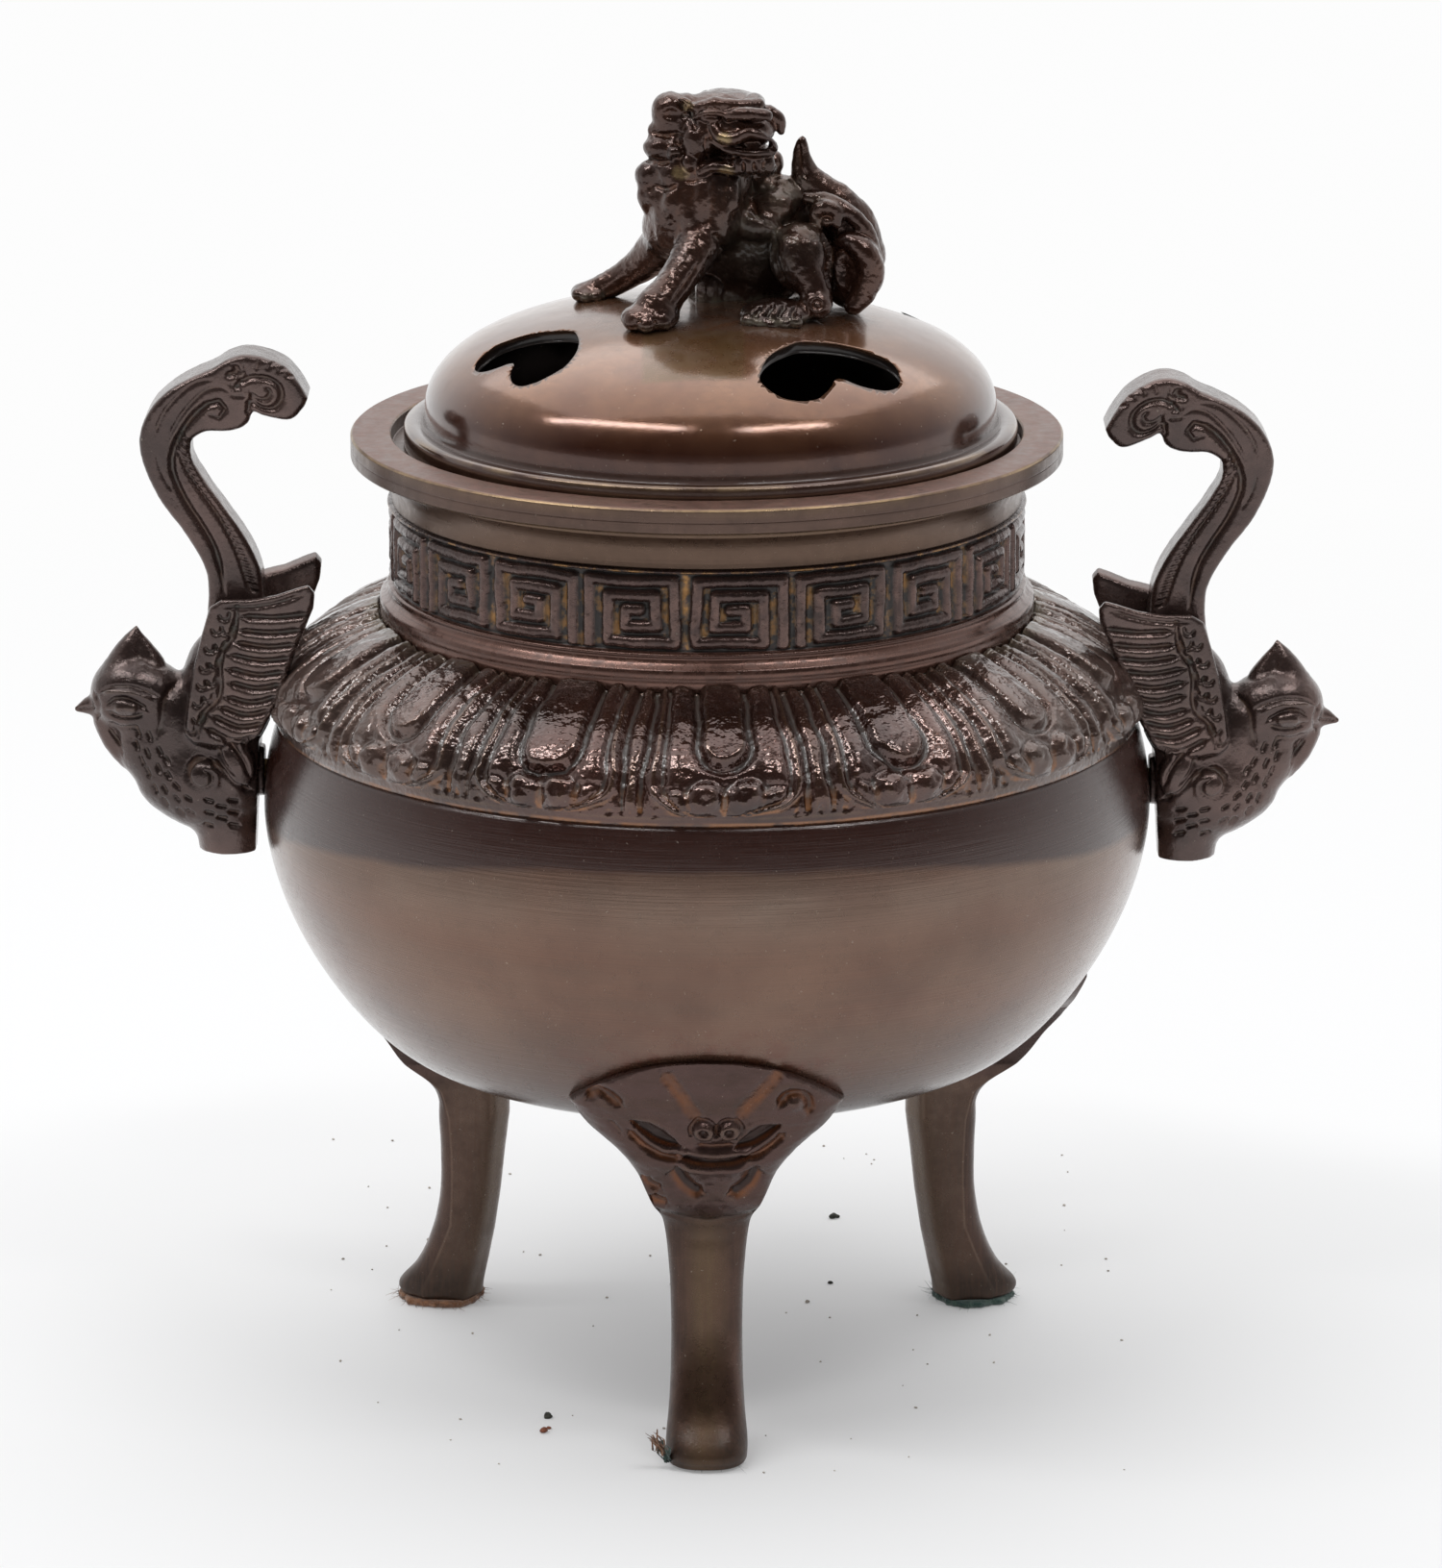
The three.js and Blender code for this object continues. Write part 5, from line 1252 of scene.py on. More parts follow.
def bird_clay():
    clay = Clay(*BIRD_BOX, 0.2)
    # breast, belly and back, from the stub upward
    clay.limb([(61.6, 0, 68.5, 3.9), (61.6, 0, 71.5, 4.4)], 0.3, curve=False)
    clay.ball((63.6, 0, 77.5), (7.2, 5.9, 6.6), 1.2)
    clay.ball((67.4, 0, 78.6), (6.2, 5.3, 5.6), 1.6)
    clay.ball((60.7, 0, 82.5), (4.9, 5.6, 9.5), 1.6)
    clay.ball((63.2, 0, 88.5), (4.4, 5.2, 9.0), 1.6)
    clay.limb([(66.2, 0, 80.5, 5.0), (68.3, 0, 85.0, 4.9), (71.0, 0, 88.6, 4.6)], 1.6)
    clay.ball((73.6, 0, 89.3), (5.6, 5.0, 5.2), 0.8)
    clay.ball((71.6, 0, 83.0), (4.4, 4.3, 5.4), 1.2)
    # crown, crest, beak and wattle
    clay.limb([(74.8, 0, 92.8, 2.5), (73.9, 0, 95.4, 1.6), (73.1, 0, 98.0, 0.25)], 0.7)
    clay.limb([(71.4, 0, 93.2, 1.8), (72.3, 0, 95.6, 1.0), (73.0, 0, 97.6, 0.2)], 0.5)
    clay.limb([(77.2, 0, 87.8, 1.9), (79.2, 0, 87.8, 1.05), (81.1, 0, 87.2, 0.22)], 0.5)
    clay.limb([(77.6, 0, 87.0, 1.1), (79.6, 0, 87.0, 0.5), (80.9, 0, 87.0, 0.2)], 0.4)
    clay.limb([(77.4, 0, 85.6, 1.5), (76.7, 0, 83.6, 1.4), (75.8, 0, 81.8, 1.2), (75.0, 0, 80.2, 0.7)], 0.7, flat=0.8)
    # tail: a thick plate that narrows at its root
    outline = np.vstack([spline(TAIL_OUTER, 70), spline(TAIL_INNER, 70)])
    clay.plate(outline, 0.0, lambda x, z: 3.15 + 0.75 * smooth(118, 130, z), 0.9, 1.4, 0.0, -6, 6)
    # wings
    for side in (1, -1):
        clay.plate(WING, lambda x, z, s=side: s * wing_middle(x, z), 1.25, 0.7, 0.9, SHEAR,
            *sorted((side * 2.2, side * 10.1)))
        # thigh spiral and second lobe on the flank
        clay.ball((64.4, side * 5.4, 79.6), (2.3, 1.5, 2.2), 0.5)
        clay.ball((60.2, side * 5.3, 81.0), (2.3, 1.3, 3.2), 0.6)
    # boss that reaches to the bowl
    clay.limb([(55.5, 0, BOSS_HEIGHT, 3.0), (60.5, 0, BOSS_HEIGHT, 3.0)], 0.3, curve=False)
    return clay


def bird_surface():
    """The bird in the left handle's measures: x outward, z up, alike on both flanks."""
    clay = bird_clay()
    # flat face towards the bowl, and the stub's flat end
    _, x, y, z = clay.axes(*BIRD_BOX)
    stop = np.interp(z.ravel(), [67, 84, 86, 89, 93, 97, 101, 103], [58.3, 57.4, 56.0, 54.2, 52.0, 50.3, 49.5, 49.3])
    wall = (stop[None, None, :] - x).astype(np.float32) * 0.9
    boss = np.hypot(y, z - BOSS_HEIGHT) < 3.3
    wall = np.where(boss & (x > 56.9), np.float32(-3), wall)
    clay.field = np.maximum(clay.field, wall)
    clay.field = np.maximum(clay.field, (68.75 - z))
    verts, faces = clay.mesh()
    verts = smoothed(verts, faces, 2)
    side = np.abs(verts[:, 1])
    plan = np.stack([verts[:, 0], verts[:, 2] - SHEAR * side], 1)
    normals = mesh_normals(verts, faces)
    lateral = np.abs(normals[:, 1]) > 0.3
    out_wing = (side > wing_middle(verts[:, 0], verts[:, 2]) - 0.4) & lateral
    feathers = []
    starts = [(59.4, 99.3), (59.9, 97.5), (60.3, 95.9), (61.0, 94.3), (61.2, 92.5), (61.1, 90.7), (61.6, 88.8),
        (62.4, 87.5), (63.4, 86.3), (64.1, 84.7)]
    ends = [(50.1, 99.6), (51.0, 97.5), (51.9, 95.6), (52.5, 93.8), (53.3, 92.0), (53.9, 90.4), (54.5, 88.8),
        (55.4, 87.0), (56.3, 85.2), (57.2, 83.4)]
    for n, (a, b) in enumerate(zip(starts, ends)):
        sag = 0.35 + 0.09 * n
        middle = ((a[0] + b[0]) / 2, (a[1] + b[1]) / 2 - sag)
        feathers.append(([a, middle, b], 0.85, 0.75))
    strip = [(59.6, 101.0), (59.9, 98.4), (60.3, 96.6), (61.6, 94.7), (62.1, 92.5), (62.0, 90.2), (62.5, 88.2),
        (63.8, 87.0), (64.5, 85.7), (65.0, 83.4)]
    verts = carve(verts, faces, plan, [*feathers, (strip, 0.8, 0.7)], out_wing)
    scales = []
    for x, w in WING_SCALES:
        scales.append(([(x - 0.7, w + 0.5), (x - 0.5, w - 0.5), (x + 0.3, w - 0.7), (x + 0.8, w + 0.1)], 0.5, 0.42))
    verts = carve(verts, faces, plan, scales, out_wing)
    # a groove sets off the rolled border along the wing's top edge
    border = [(61.4, 100.6), (58.1, 100.5), (54.5, 101.1), (51.0, 102.2)]
    verts = carve(verts, faces, plan, [(border, 0.6, 0.4)], out_wing)
    body = lateral & (plan[:, 0] > 57) & (plan[:, 1] < 93) & ~(out_wing & (plan[:, 1] > 83))
    front = lateral & (plan[:, 0] > 66.5) & (plan[:, 1] < 93)
    face = [
        ([(77.2, 87.4), (76.0, 88.4), (74.3, 88.5), (72.6, 87.8), (71.4, 86.9)], 0.6, 0.5),
        ([(77.0, 86.9), (75.2, 86.0), (73.2, 86.0), (71.8, 86.6)], 0.6, 0.5),
        ([(78.2, 89.0), (76.4, 90.0), (74.0, 90.2), (71.8, 89.6), (69.8, 88.6)], 0.55, 0.32),
        ([(76.8, 85.4), (75.0, 84.7), (72.6, 84.9)], 0.5, 0.25),
        ([(78.4, 87.3), (79.8, 87.2), (81, 87.1)], 0.35, 0.3),
        ([(78.5, 89.4), (78.0, 87.6), (78.2, 85.8)], 0.6, 0.35),
        ([(67.9, 90.8), (69.3, 88.2), (69.7, 85.7), (70.4, 83.4)], 1.1, 0.5),
        ([(76.9, 84.8), (75.5, 82.6), (75.0, 80.8)], 0.4, 0.25),
    ]
    verts = carve(verts, faces, plan, face, front)
    # raised eyeball and brow
    raised = [
        ([(75.8, 87.2), (74.2, 87.3), (72.9, 87.0)], 1.1, -0.4),
        ([(77.6, 89.3), (75.6, 89.4), (73.2, 89.2), (70.9, 88.2)], 0.6, -0.3),
    ]
    verts = carve(verts, faces, plan, raised, front)
    flank = [
        ([(63.6, 80.7), (65.3, 80.6), (66.5, 79.2), (66.3, 77.4), (64.9, 76.4), (63.4, 77.0), (63.2, 78.4),
            (64.3, 79.1)], 0.7, 0.6),
        ([(63.6, 80.7), (62.2, 79.2), (60.6, 77.2), (58.2, 76.3)], 0.75, 0.5),
        ([(61.9, 83.0), (60.3, 81.9), (59.0, 79.9), (58.4, 78.0)], 0.7, 0.5),
        ([(62.6, 82.2), (61.8, 80.0), (60.2, 78.2)], 0.5, 0.25),
    ]
    for x, w in BREAST_SCALES:
        tilt = 1.1 - 1.1 * smooth(62, 72, x)
        along = 0.75 * (0.4 + tilt * 0.6)
        start, stop = (x - along, w - 0.75 * (1 - tilt * 0.8)), (x + along, w + 0.75 * (1 - tilt * 0.7))
        flank.append(([start, (x, w), stop], 0.55, 0.42))
    verts = carve(verts, faces, plan, flank, body)
    tail = lateral & (plan[:, 1] > 100.5) & (side < 5.2)
    lines = [
        ([(61.6, 102.4), (61.9, 105.1), (62.7, 108.3), (64.3, 111.3), (66.1, 114.2), (67.4, 117.0), (67.9, 119.0),
            (67.6, 121.0), (66.5, 123.4), (65.2, 125.2), (63.6, 126.7), (62.1, 127.4), (61.0, 126.9), (61.0, 125.8),
            (62.0, 125.2), (63.0, 125.7)], 0.85, 0.7),
        ([(57.8, 129.0), (57.4, 127.4), (56.3, 126.5), (54.8, 126.5), (53.8, 127.7), (54.0, 129.3), (55.4, 130.3),
            (57.4, 130.5), (59.0, 129.8), (60.1, 128.4)], 0.8, 0.6),
        ([(57.6, 128.6), (56.9, 127.8), (55.7, 127.7), (55.2, 128.6), (56.0, 129.3)], 0.6, 0.45),
        ([(60.0, 132.2), (59.3, 131.4), (60.4, 130.8), (58.6, 131.5)], 0.8, 0.6),
        ([(58.0, 125.6), (57.9, 127.6)], 0.7, 0.6),
        ([(60.4, 128.6), (61.6, 129.2), (63.4, 128.8), (65.2, 127.2), (66.9, 125.0), (68.3, 122.4)], 0.5, 0.25),
        ([(62.4, 130.2), (64.6, 129.8), (66.8, 128.2), (68.8, 125.8), (70.0, 122.9)], 0.5, 0.25),
        ([(69.8, 120.6), (69.3, 118.4), (68.0, 115.8)], 0.5, 0.25),
    ]
    for t in np.linspace(0.05, 0.95, 8):
        a = math.radians(150 - 190 * t)
        root = 55.8 + 3.0 * math.cos(a), 129.2 + 2.2 * math.sin(a)
        tip = 55.6 + 4.9 * math.cos(a + 0.2), 129.3 + 3.6 * math.sin(a + 0.2)
        lines.append(([root, tip], 0.45, 0.25))
    inner_path = spline([(58.0, 103.0), (59.4, 107.5), (61.4, 111.6), (63.8, 115.2), (65.6, 118.2), (66.4, 120.6),
        (65.9, 122.6)], 26)
    for x, w in inner_path:
        lines.append(([(x - 0.9, w - 0.5), (x + 0.1, w - 0.1), (x + 0.9, w + 0.9)], 0.5, 0.32))
    verts = carve(verts, faces, plan, lines, tail)
    rough = 0.05 * rough_noise(verts, 1.8, 201) + 0.022 * rough_noise(verts, 0.55, 205)
    return verts + mesh_normals(verts, faces) * rough[:, None], faces


def make_birds():
    verts, faces = bird_surface()
    hollow = hollow_of(verts, faces, 12)

    def extra(look):
        # red-brown rust in the hollows
        rust = look.patchy(look.ramp(look.attribute("hollow"), 0.05, 0.25), (0.25, 4), 0.42, 0.6, 0, 0.7)
        look.paint(rust, (0.12, 0.05, 0.026))

    look = bronze(
        "bird_bronze", (0.11, 0.066, 0.056), (0.05, 0.03, 0.026), (0.18, 0.34), (0.06, 2.0, 3), extra, 0.3,
        grime=((0.06, 0.05, 0.038), 0.08, 0.3), wear=((0.24, 0.17, 0.13), -0.3, -0.08, 0.35), coat=(0.6, 0.2),
    )
    left = verts * (-1, -1, 1)
    piece("left_bird_sculpted", left, faces, look, "censer", ["left_bird_handle"], {"hollow": hollow})
    right = verts.copy()
    right[:, 2] = RIGHT_FOOT + (verts[:, 2] - LEFT_FOOT) * (RIGHT_HEIGHT / LEFT_HEIGHT)
    head = smooth(66, 56, right[:, 0]) * smooth(116, 122, right[:, 2])
    right[:, 2] -= 1.2 * head * smooth(58, 50, right[:, 0])
    right[:, 1] *= -1
    piece("right_bird_sculpted", right, faces[:, ::-1], look, "censer", ["right_bird_handle"],
        {"hollow": hollow})


# Lion, laid out on a front drawing: u runs to the right and v down, in units of the drawing, and y is depth in mm

UNITS_ACROSS, UNITS_DOWN, DRAWING_LEFT, DRAWING_TOP = 36.9, 36.46, 18.75, 169.2
# the drawing looks down a little, so what lies further back stands lower for the same v
LEAN = 0.19


def spot(u, v, y=0.0):
    return (u / UNITS_ACROSS - DRAWING_LEFT, y, DRAWING_TOP - v / UNITS_DOWN - LEAN * y)


def lion_clay():
    clay = Clay((-18.6, -17.6, 132.9), (23.6, 13.6, DRAWING_TOP), 0.16)

    def ball(u, v, y, radii, soft, **more):
        clay.ball(spot(u, v, y), radii, soft, **more)

    def limb(stations, soft, **more):
        clay.limb([(*spot(u, v, y), r) for u, v, y, r in stations], soft, **more)

    # trunk, chest, neck and the mass under the belly
    ball(900, 735, 1.9, (9.2, 5.4, 6.8), 1.5)
    ball(650, 620, -2.2, (6.3, 5.6, 6.4), 1.4)
    ball(670, 480, -1.8, (6.3, 5.4, 5.0), 1.2)
    ball(880, 900, 3.2, (7.4, 4.2, 5.2), 1.5)
    ball(1040, 560, 1.0, (3.6, 3.6, 2.8), 1.2)
    ball(515, 690, -0.6, (3.4, 3.8, 3.9), 1.0)
    ball(800, 1030, 3.0, (5.6, 4.0, 2.6), 1.2)
    # haunches, rump and hind legs
    ball(1128, 838, -4.6, (3.9, 4.0, 4.5), 0.6)
    ball(1165, 850, 6.8, (3.9, 3.2, 4.4), 0.8)
    ball(1360, 880, -0.2, (4.0, 4.2, 5.4), 0.9)
    limb([(1150, 900, -6.4, 2.6), (1190, 980, -7.4, 2.1), (1200, 1050, -8.0, 2.0)], 0.5)
    ball(1200, 1055, -8.6, (2.0, 2.0, 1.9), 0.3)
    ball(1202, 1055, -10.5, (0.8, 0.7, 0.75), 0.25, cut=True)
    ball(1202, 1056, -9.9, (0.42, 0.5, 0.42), 0.1)
    ball(1010, 1098, -9.0, (4.5, 3.3, 1.9), 0.5)
    for u, v in ((880, 1128), (932, 1142), (990, 1148), (1048, 1144), (1102, 1134)):
        ball(u, v, -11.9, (0.95, 1.0, 0.9), 0.3)
    ball(1020, 1010, 10.4, (4.2, 2.7, 1.9), 0.5)
    for u in (900, 950, 1000, 1050):
        limb([(u + 40, 990, 10.6, 0.8), (u - 5, 1010, 12.2, 0.85)], 0.12)
    # tail with its curl at the root
    limb([(1385, 830, 0.6, 3.9), (1350, 700, 0.8, 3.7), (1280, 600, 0.8, 3.1), (1205, 525, 0.6, 2.45),
        (1150, 450, 0.4, 1.75), (1132, 370, 0.3, 1.2), (1134, 300, 0.2, 0.62), (1136, 279, 0.2, 0.22)], 0.6,
        flat=1.25)
    limb([(1290, 780, -3.0, 0.7), (1350, 760, -3.8, 1.2), (1420, 810, -4.1, 1.7), (1452, 900, -4.0, 1.8),
        (1425, 990, -4.2, 1.7), (1375, 1060, -4.8, 1.3)], 0.35)
    ball(1325, 920, -5.6, (1.5, 2.0, 2.9), 0.5, cut=True)
    limb([(1205, 690, -3.6, 0.7), (1196, 640, -3.8, 0.95), (1235, 605, -3.9, 1.05), (1292, 625, -3.8, 0.95),
        (1296, 680, -3.9, 0.75)], 0.2)
    ball(1246, 668, -3.6, (0.85, 1.2, 0.85), 0.15)
    limb([(1160, 560, -2.4, 0.8), (1260, 575, -2.7, 1.0), (1360, 640, -3.0, 1.1), (1440, 730, -2.8, 1.0),
        (1485, 850, -2.2, 0.8)], 0.4)
    limb([(1375, 700, 4.0, 1.1), (1455, 790, 4.0, 1.2), (1460, 900, 3.9, 1.2), (1390, 1000, 4.2, 1.1),
        (1290, 960, 5.2, 0.9)], 0.3)
    # fur along the spine and loose folds over the back
    for u, v, r in ((960, 490, 1.3), (1040, 500, 1.2), (1110, 540, 1.1)):
        ball(u, v, 0.4, (r * 1.3, r * 1.5, r), 0.5)
    for u, v, y in ((1000, 600, -2.6), (930, 690, -4.0)):
        ball(u, v, y, (2.6, 1.6, 1.8), 1.2)
    # far foreleg, near foreleg and their paws
    limb([(540, 730, 0.4, 3.4), (470, 800, 2.2, 2.9), (400, 862, 3.6, 2.35), (310, 925, 4.9, 1.95),
        (215, 978, 5.6, 1.75), (135, 1008, 5.9, 1.5)], 0.7)
    ball(140, 1008, 6.0, (2.4, 2.1, 1.5), 0.4)
    for u, v, y in ((88, 1015, 4.8), (128, 1027, 4.2), (180, 1022, 4.2)):
        ball(u, v, y, (0.9, 1.0, 0.85), 0.3)
    limb([(715, 690, -5.0, 3.0), (650, 790, -7.2, 2.75), (590, 885, -9.0, 2.45), (525, 985, -10.8, 2.35),
        (462, 1062, -12.0, 2.6)], 0.7)
    ball(430, 1112, -12.6, (3.7, 3.0, 1.9), 0.9)
    for u, v, y in ((352, 1138, -13.8), (418, 1146, -14.9), (492, 1134, -14.2)):
        ball(u, v, y, (1.15, 1.2, 1.0), 0.4)
    # head: skull, crown and brow
    ball(760, 215, -2.2, (5.9, 4.9, 4.2), 0.8)
    ball(790, 122, -1.6, (4.7, 4.4, 1.65), 0.45)
    limb([(632, 150, -5.0, 0.75), (720, 132, -5.9, 0.95), (830, 136, -6.2, 0.95), (930, 134, -5.2, 0.9)], 0.3)
    ball(908, 124, -3.6, (1.45, 2.4, 1.3), 0.3)
    # ear with its hollow, and the lobe below it
    ball(525, 160, -3.4, (2.45, 2.3, 2.55), 0.9)
    ball(600, 170, -2.6, (1.6, 2.4, 2.6), 0.8)
    ball(530, 180, -6.0, (1.35, 0.9, 0.95), 0.3, cut=True)
    limb([(580, 110, -5.2, 0.5), (606, 130, -5.6, 0.55), (600, 165, -5.6, 0.45)], 0.15)
    limb([(560, 250, -4.0, 1.3), (490, 250, -3.6, 1.2), (450, 245, -3.0, 0.9)], 0.9)
    # eye
    ball(712, 200, -7.4, (1.75, 1.2, 0.85), 0.3, cut=True)
    ball(712, 196, -6.5, (1.35, 0.8, 0.55), 0.08)
    limb([(634, 196, -6.2, 0.3), (690, 170, -6.9, 0.4), (760, 172, -7.2, 0.4), (800, 196, -7.3, 0.3)], 0.12)
    # muzzle, nose, lips and open mouth
    ball(880, 245, -4.9, (3.5, 3.2, 2.3), 0.5)
    limb([(795, 182, -7.2, 0.75), (870, 176, -8.0, 0.95), (965, 184, -7.4, 0.85)], 0.2)
    limb([(975, 165, -4.4, 1.0), (1025, 205, -4.4, 0.95), (1036, 252, -4.6, 0.5)], 0.25)
    limb([(815, 215, -7.8, 0.5), (900, 222, -8.4, 0.6), (985, 215, -7.2, 0.5)], 0.15, cut=True)
    limb([(722, 232, -6.9, 0.6), (755, 280, -7.5, 0.8), (825, 288, -8.1, 0.85), (885, 262, -8.5, 0.75),
        (940, 275, -8.2, 0.65), (990, 312, -7.2, 0.7), (1004, 335, -6.4, 0.5)], 0.15)
    ball(885, 372, -4.4, (3.2, 3.4, 2.2), 0.4)
    ball(925, 316, -8.0, (1.9, 1.7, 0.7), 0.25, cut=True)
    limb([(722, 300, -7.0, 0.4), (800, 342, -7.7, 0.55), (900, 356, -7.9, 0.55), (992, 350, -6.6, 0.5)], 0.15)
    for u in (790, 840, 890, 940, 980):
        ball(u, 410, -7.2 + abs(u - 870) * 0.006, (0.75, 0.8, 1.35), 0.2)
    # beard, cheek and mane
    limb([(665, 442, -6.8, 0.55), (735, 418, -7.4, 0.8), (830, 436, -7.2, 0.55)], 0.2)
    limb([(925, 460, -6.0, 0.6), (975, 435, -5.6, 0.75), (1000, 420, -5.0, 0.5)], 0.2)
    limb([(600, 480, -7.0, 0.4), (760, 482, -7.4, 0.45), (900, 500, -6.0, 0.4)], 0.2, cut=True)
    ball(655, 300, -5.4, (2.2, 2.0, 2.6), 0.6)
    ball(495, 325, -3.4, (2.6, 2.4, 1.9), 0.8)
    ball(545, 352, -5.8, (0.95, 0.9, 0.9), 0.25)
    ball(560, 430, -3.6, (3.4, 2.4, 3.2), 0.9)
    ball(555, 385, -6.4, (0.8, 0.7, 0.6), 0.15, cut=True)
    ball(436, 458, -2.6, (2.05, 2.2, 2.15), 0.7)
    ball(545, 455, -4.9, (1.9, 1.6, 1.5), 0.5)
    ball(475, 555, -3.4, (2.2, 2.2, 1.6), 0.8)
    ball(620, 400, -6.0, (1.2, 1.1, 1.4), 0.25)
    # locks of the mane hanging over the chest
    for u, v, long, y, bend in ((430, 470, 190, -2.8, -14), (486, 520, 250, -4.6, 12), (548, 500, 210, -6.0, -14),
            (606, 550, 250, -6.7, 18), (680, 500, 210, -6.8, -12), (744, 540, 230, -6.6, 16),
            (812, 490, 190, -5.8, -10)):
        tip = u - 0.7 * bend + 8, v + long, y + 0.7, 0.3
        limb([(u, v, y, 0.7), (u + bend, v + 0.5 * long, y - 0.3, 1.2), tip], 0.7)
    back = [(505, 225, 0.6), (565, 155, 2.2), (700, 128, 3.2), (850, 145, 3.0), (935, 240, 2.0), (510, 320, 1.4),
        (620, 230, 3.8), (770, 240, 4.4), (900, 310, 3.6), (480, 430, 1.0), (600, 370, 3.8), (740, 380, 4.4),
        (870, 420, 3.6), (980, 400, 0.8), (560, 500, 3.2), (700, 520, 4.0), (840, 540, 4.0)]
    for n, (u, v, y) in enumerate(back):
        ball(u, v, y, (1.9, 1.7, 1.9), 0.45)
        x, d, z = spot(u, v, y)
        turn = n * 1.7
        clay.ball((x + 0.3 * math.cos(turn), d + 1.5, z + 0.3 * math.sin(turn)), (0.55, 0.7, 0.55), 0.25, cut=True)
    # peg through the cover, and the seat on the dome
    _, x, y, z = clay.axes((-30, -30, 120), (30, 30, 180))
    radius = np.hypot(x - COVER_SLIP, y)
    seat = dome_height(radius).astype(np.float32) - 0.25
    clay.field = np.maximum(clay.field, seat - z)
    clay.limb([(COVER_SLIP, 0, 133.4, 1.95), (COVER_SLIP, 0, 142.5, 1.95)], 0.1, curve=False)
    clay.field = np.maximum(clay.field, np.float32(133.35) - z)
    return clay


def make_lion():
    verts, faces = lion_clay().mesh()
    verts = smoothed(verts, faces, 4)
    plan = np.stack([verts[:, 0], verts[:, 2] + LEAN * verts[:, 1]], 1)
    normals = mesh_normals(verts, faces)
    seen = (normals[:, 1] < -0.15) & (verts[:, 2] > 141)
    lines = [
        ([(612, 150), (622, 200), (640, 250)], 0.9, 0.5),
        ([(560, 110), (590, 150), (585, 200)], 0.7, 0.4), ([(430, 255), (500, 272), (580, 262)], 0.7, 0.45),
        ([(405, 385), (470, 400), (530, 392)], 0.6, 0.35), ([(450, 500), (500, 520), (560, 500)], 0.6, 0.35),
        ([(690, 270), (684, 320), (700, 380)], 0.6, 0.25), ([(740, 370), (790, 380), (830, 372)], 0.4, 0.2),
        ([(860, 395), (865, 440)], 0.45, 0.3), ([(910, 395), (912, 440)], 0.45, 0.3),
        ([(955, 390), (955, 430)], 0.45, 0.3),
        ([(720, 720), (765, 780), (760, 860)], 0.9, 0.5),
        ([(900, 560), (930, 640), (1010, 700)], 0.7, 0.35), ([(1010, 740), (1000, 840), (1050, 960)], 0.8, 0.5),
        ([(1230, 700), (1262, 800), (1262, 900), (1280, 1000)], 0.9, 0.6),
        ([(1120, 300), (1128, 400), (1160, 480)], 0.6, 0.25),
        ([(945, 1062), (915, 1100), (900, 1160)], 0.55, 0.55), ([(1000, 1052), (970, 1100), (958, 1168)], 0.55, 0.55),
        ([(1056, 1052), (1030, 1100), (1018, 1168)], 0.55, 0.55),
        ([(1106, 1060), (1088, 1100), (1078, 1160)], 0.55, 0.5),
        ([(650, 860), (600, 950), (530, 1040)], 0.7, 0.2), ([(385, 1120), (380, 1150)], 0.5, 0.35),
        ([(455, 1125), (458, 1155)], 0.5, 0.35),
    ]
    verts = carve(verts, faces, plan, [([spot(*p)[::2] for p in path], *cut) for path, *cut in lines], seen)
    rough = 0.13 * rough_noise(verts, 1.7, 301) + 0.05 * rough_noise(verts, 0.6, 305)
    rough = rough * smooth(140.6, 141.6, verts[:, 2])
    verts = verts + mesh_normals(verts, faces) * rough[:, None]
    hollow = hollow_of(verts, faces, 16)
    root = smooth(1.6, 0.2, verts[:, 2] - dome_height(np.hypot(verts[:, 0] - COVER_SLIP, verts[:, 1])))

    def extra(look):
        rust = look.patchy(look.ramp(look.attribute("hollow"), 0.0, 0.2), (0.28, 4), 0.4, 0.56, 0, 0.95)
        look.paint(rust, (0.13, 0.045, 0.018))
        # painted shade under the lion's belly: a dark, slightly rougher patch
        under = look.times(sphere_mask(look, (4.4, -4, 146.2), (5.6, 7, 5.4), 0.4), 0.85)
        look.paint(under, (0.022, 0.014, 0.01), 0.3)
        dusty = look.patchy(sphere_mask(look, (8.3, -3, 152.5), (6.2, 7, 6.0), 0.5), (0.5, 4), 0.4, 0.6, 0.1, 0.9)
        dusty = look.times(dusty, look.ramp(look.attribute("hollow"), -0.25, 0.15))
        look.paint(dusty, (0.1, 0.083, 0.06), 0.4)
        for place, size in (((-2.5, -5.6, 166.6), 0.75), ((2.3, -8.2, 162.9), 0.9), ((-3.2, -6.2, 158.2), 1.0),
                ((2.4, -7.6, 158.6), 0.9)):
            gold = look.patchy(sphere_mask(look, place, (size, size, size * 0.8), 0.4), (1.1, 3), 0.35, 0.55, 0.2, 1)
            look.paint(look.times(gold, 0.8), (0.3, 0.21, 0.1))
        look.paint(look.patchy(look.attribute("root"), (0.7, 4), 0.4, 0.6, 0, 0.8), (0.17, 0.15, 0.11), 0.3)

    look = bronze(
        "lion_bronze", (0.082, 0.036, 0.023), (0.03, 0.012, 0.008), (0.16, 0.3), (0.06, 1.5, 2), extra, 0.3,
        grime=((0.075, 0.06, 0.043), 0.1, 0.34), wear=((0.19, 0.12, 0.085), -0.3, -0.08, 0.4), coat=(0.6, 0.13),
    )
    piece("lion_sculpted", verts, faces, look, "cover", ["finial_lion"],
        {"hollow": hollow, "root": root})


# Worn felt under the feet

PAD_POINTS, PAD_FIBRES = 140, 90


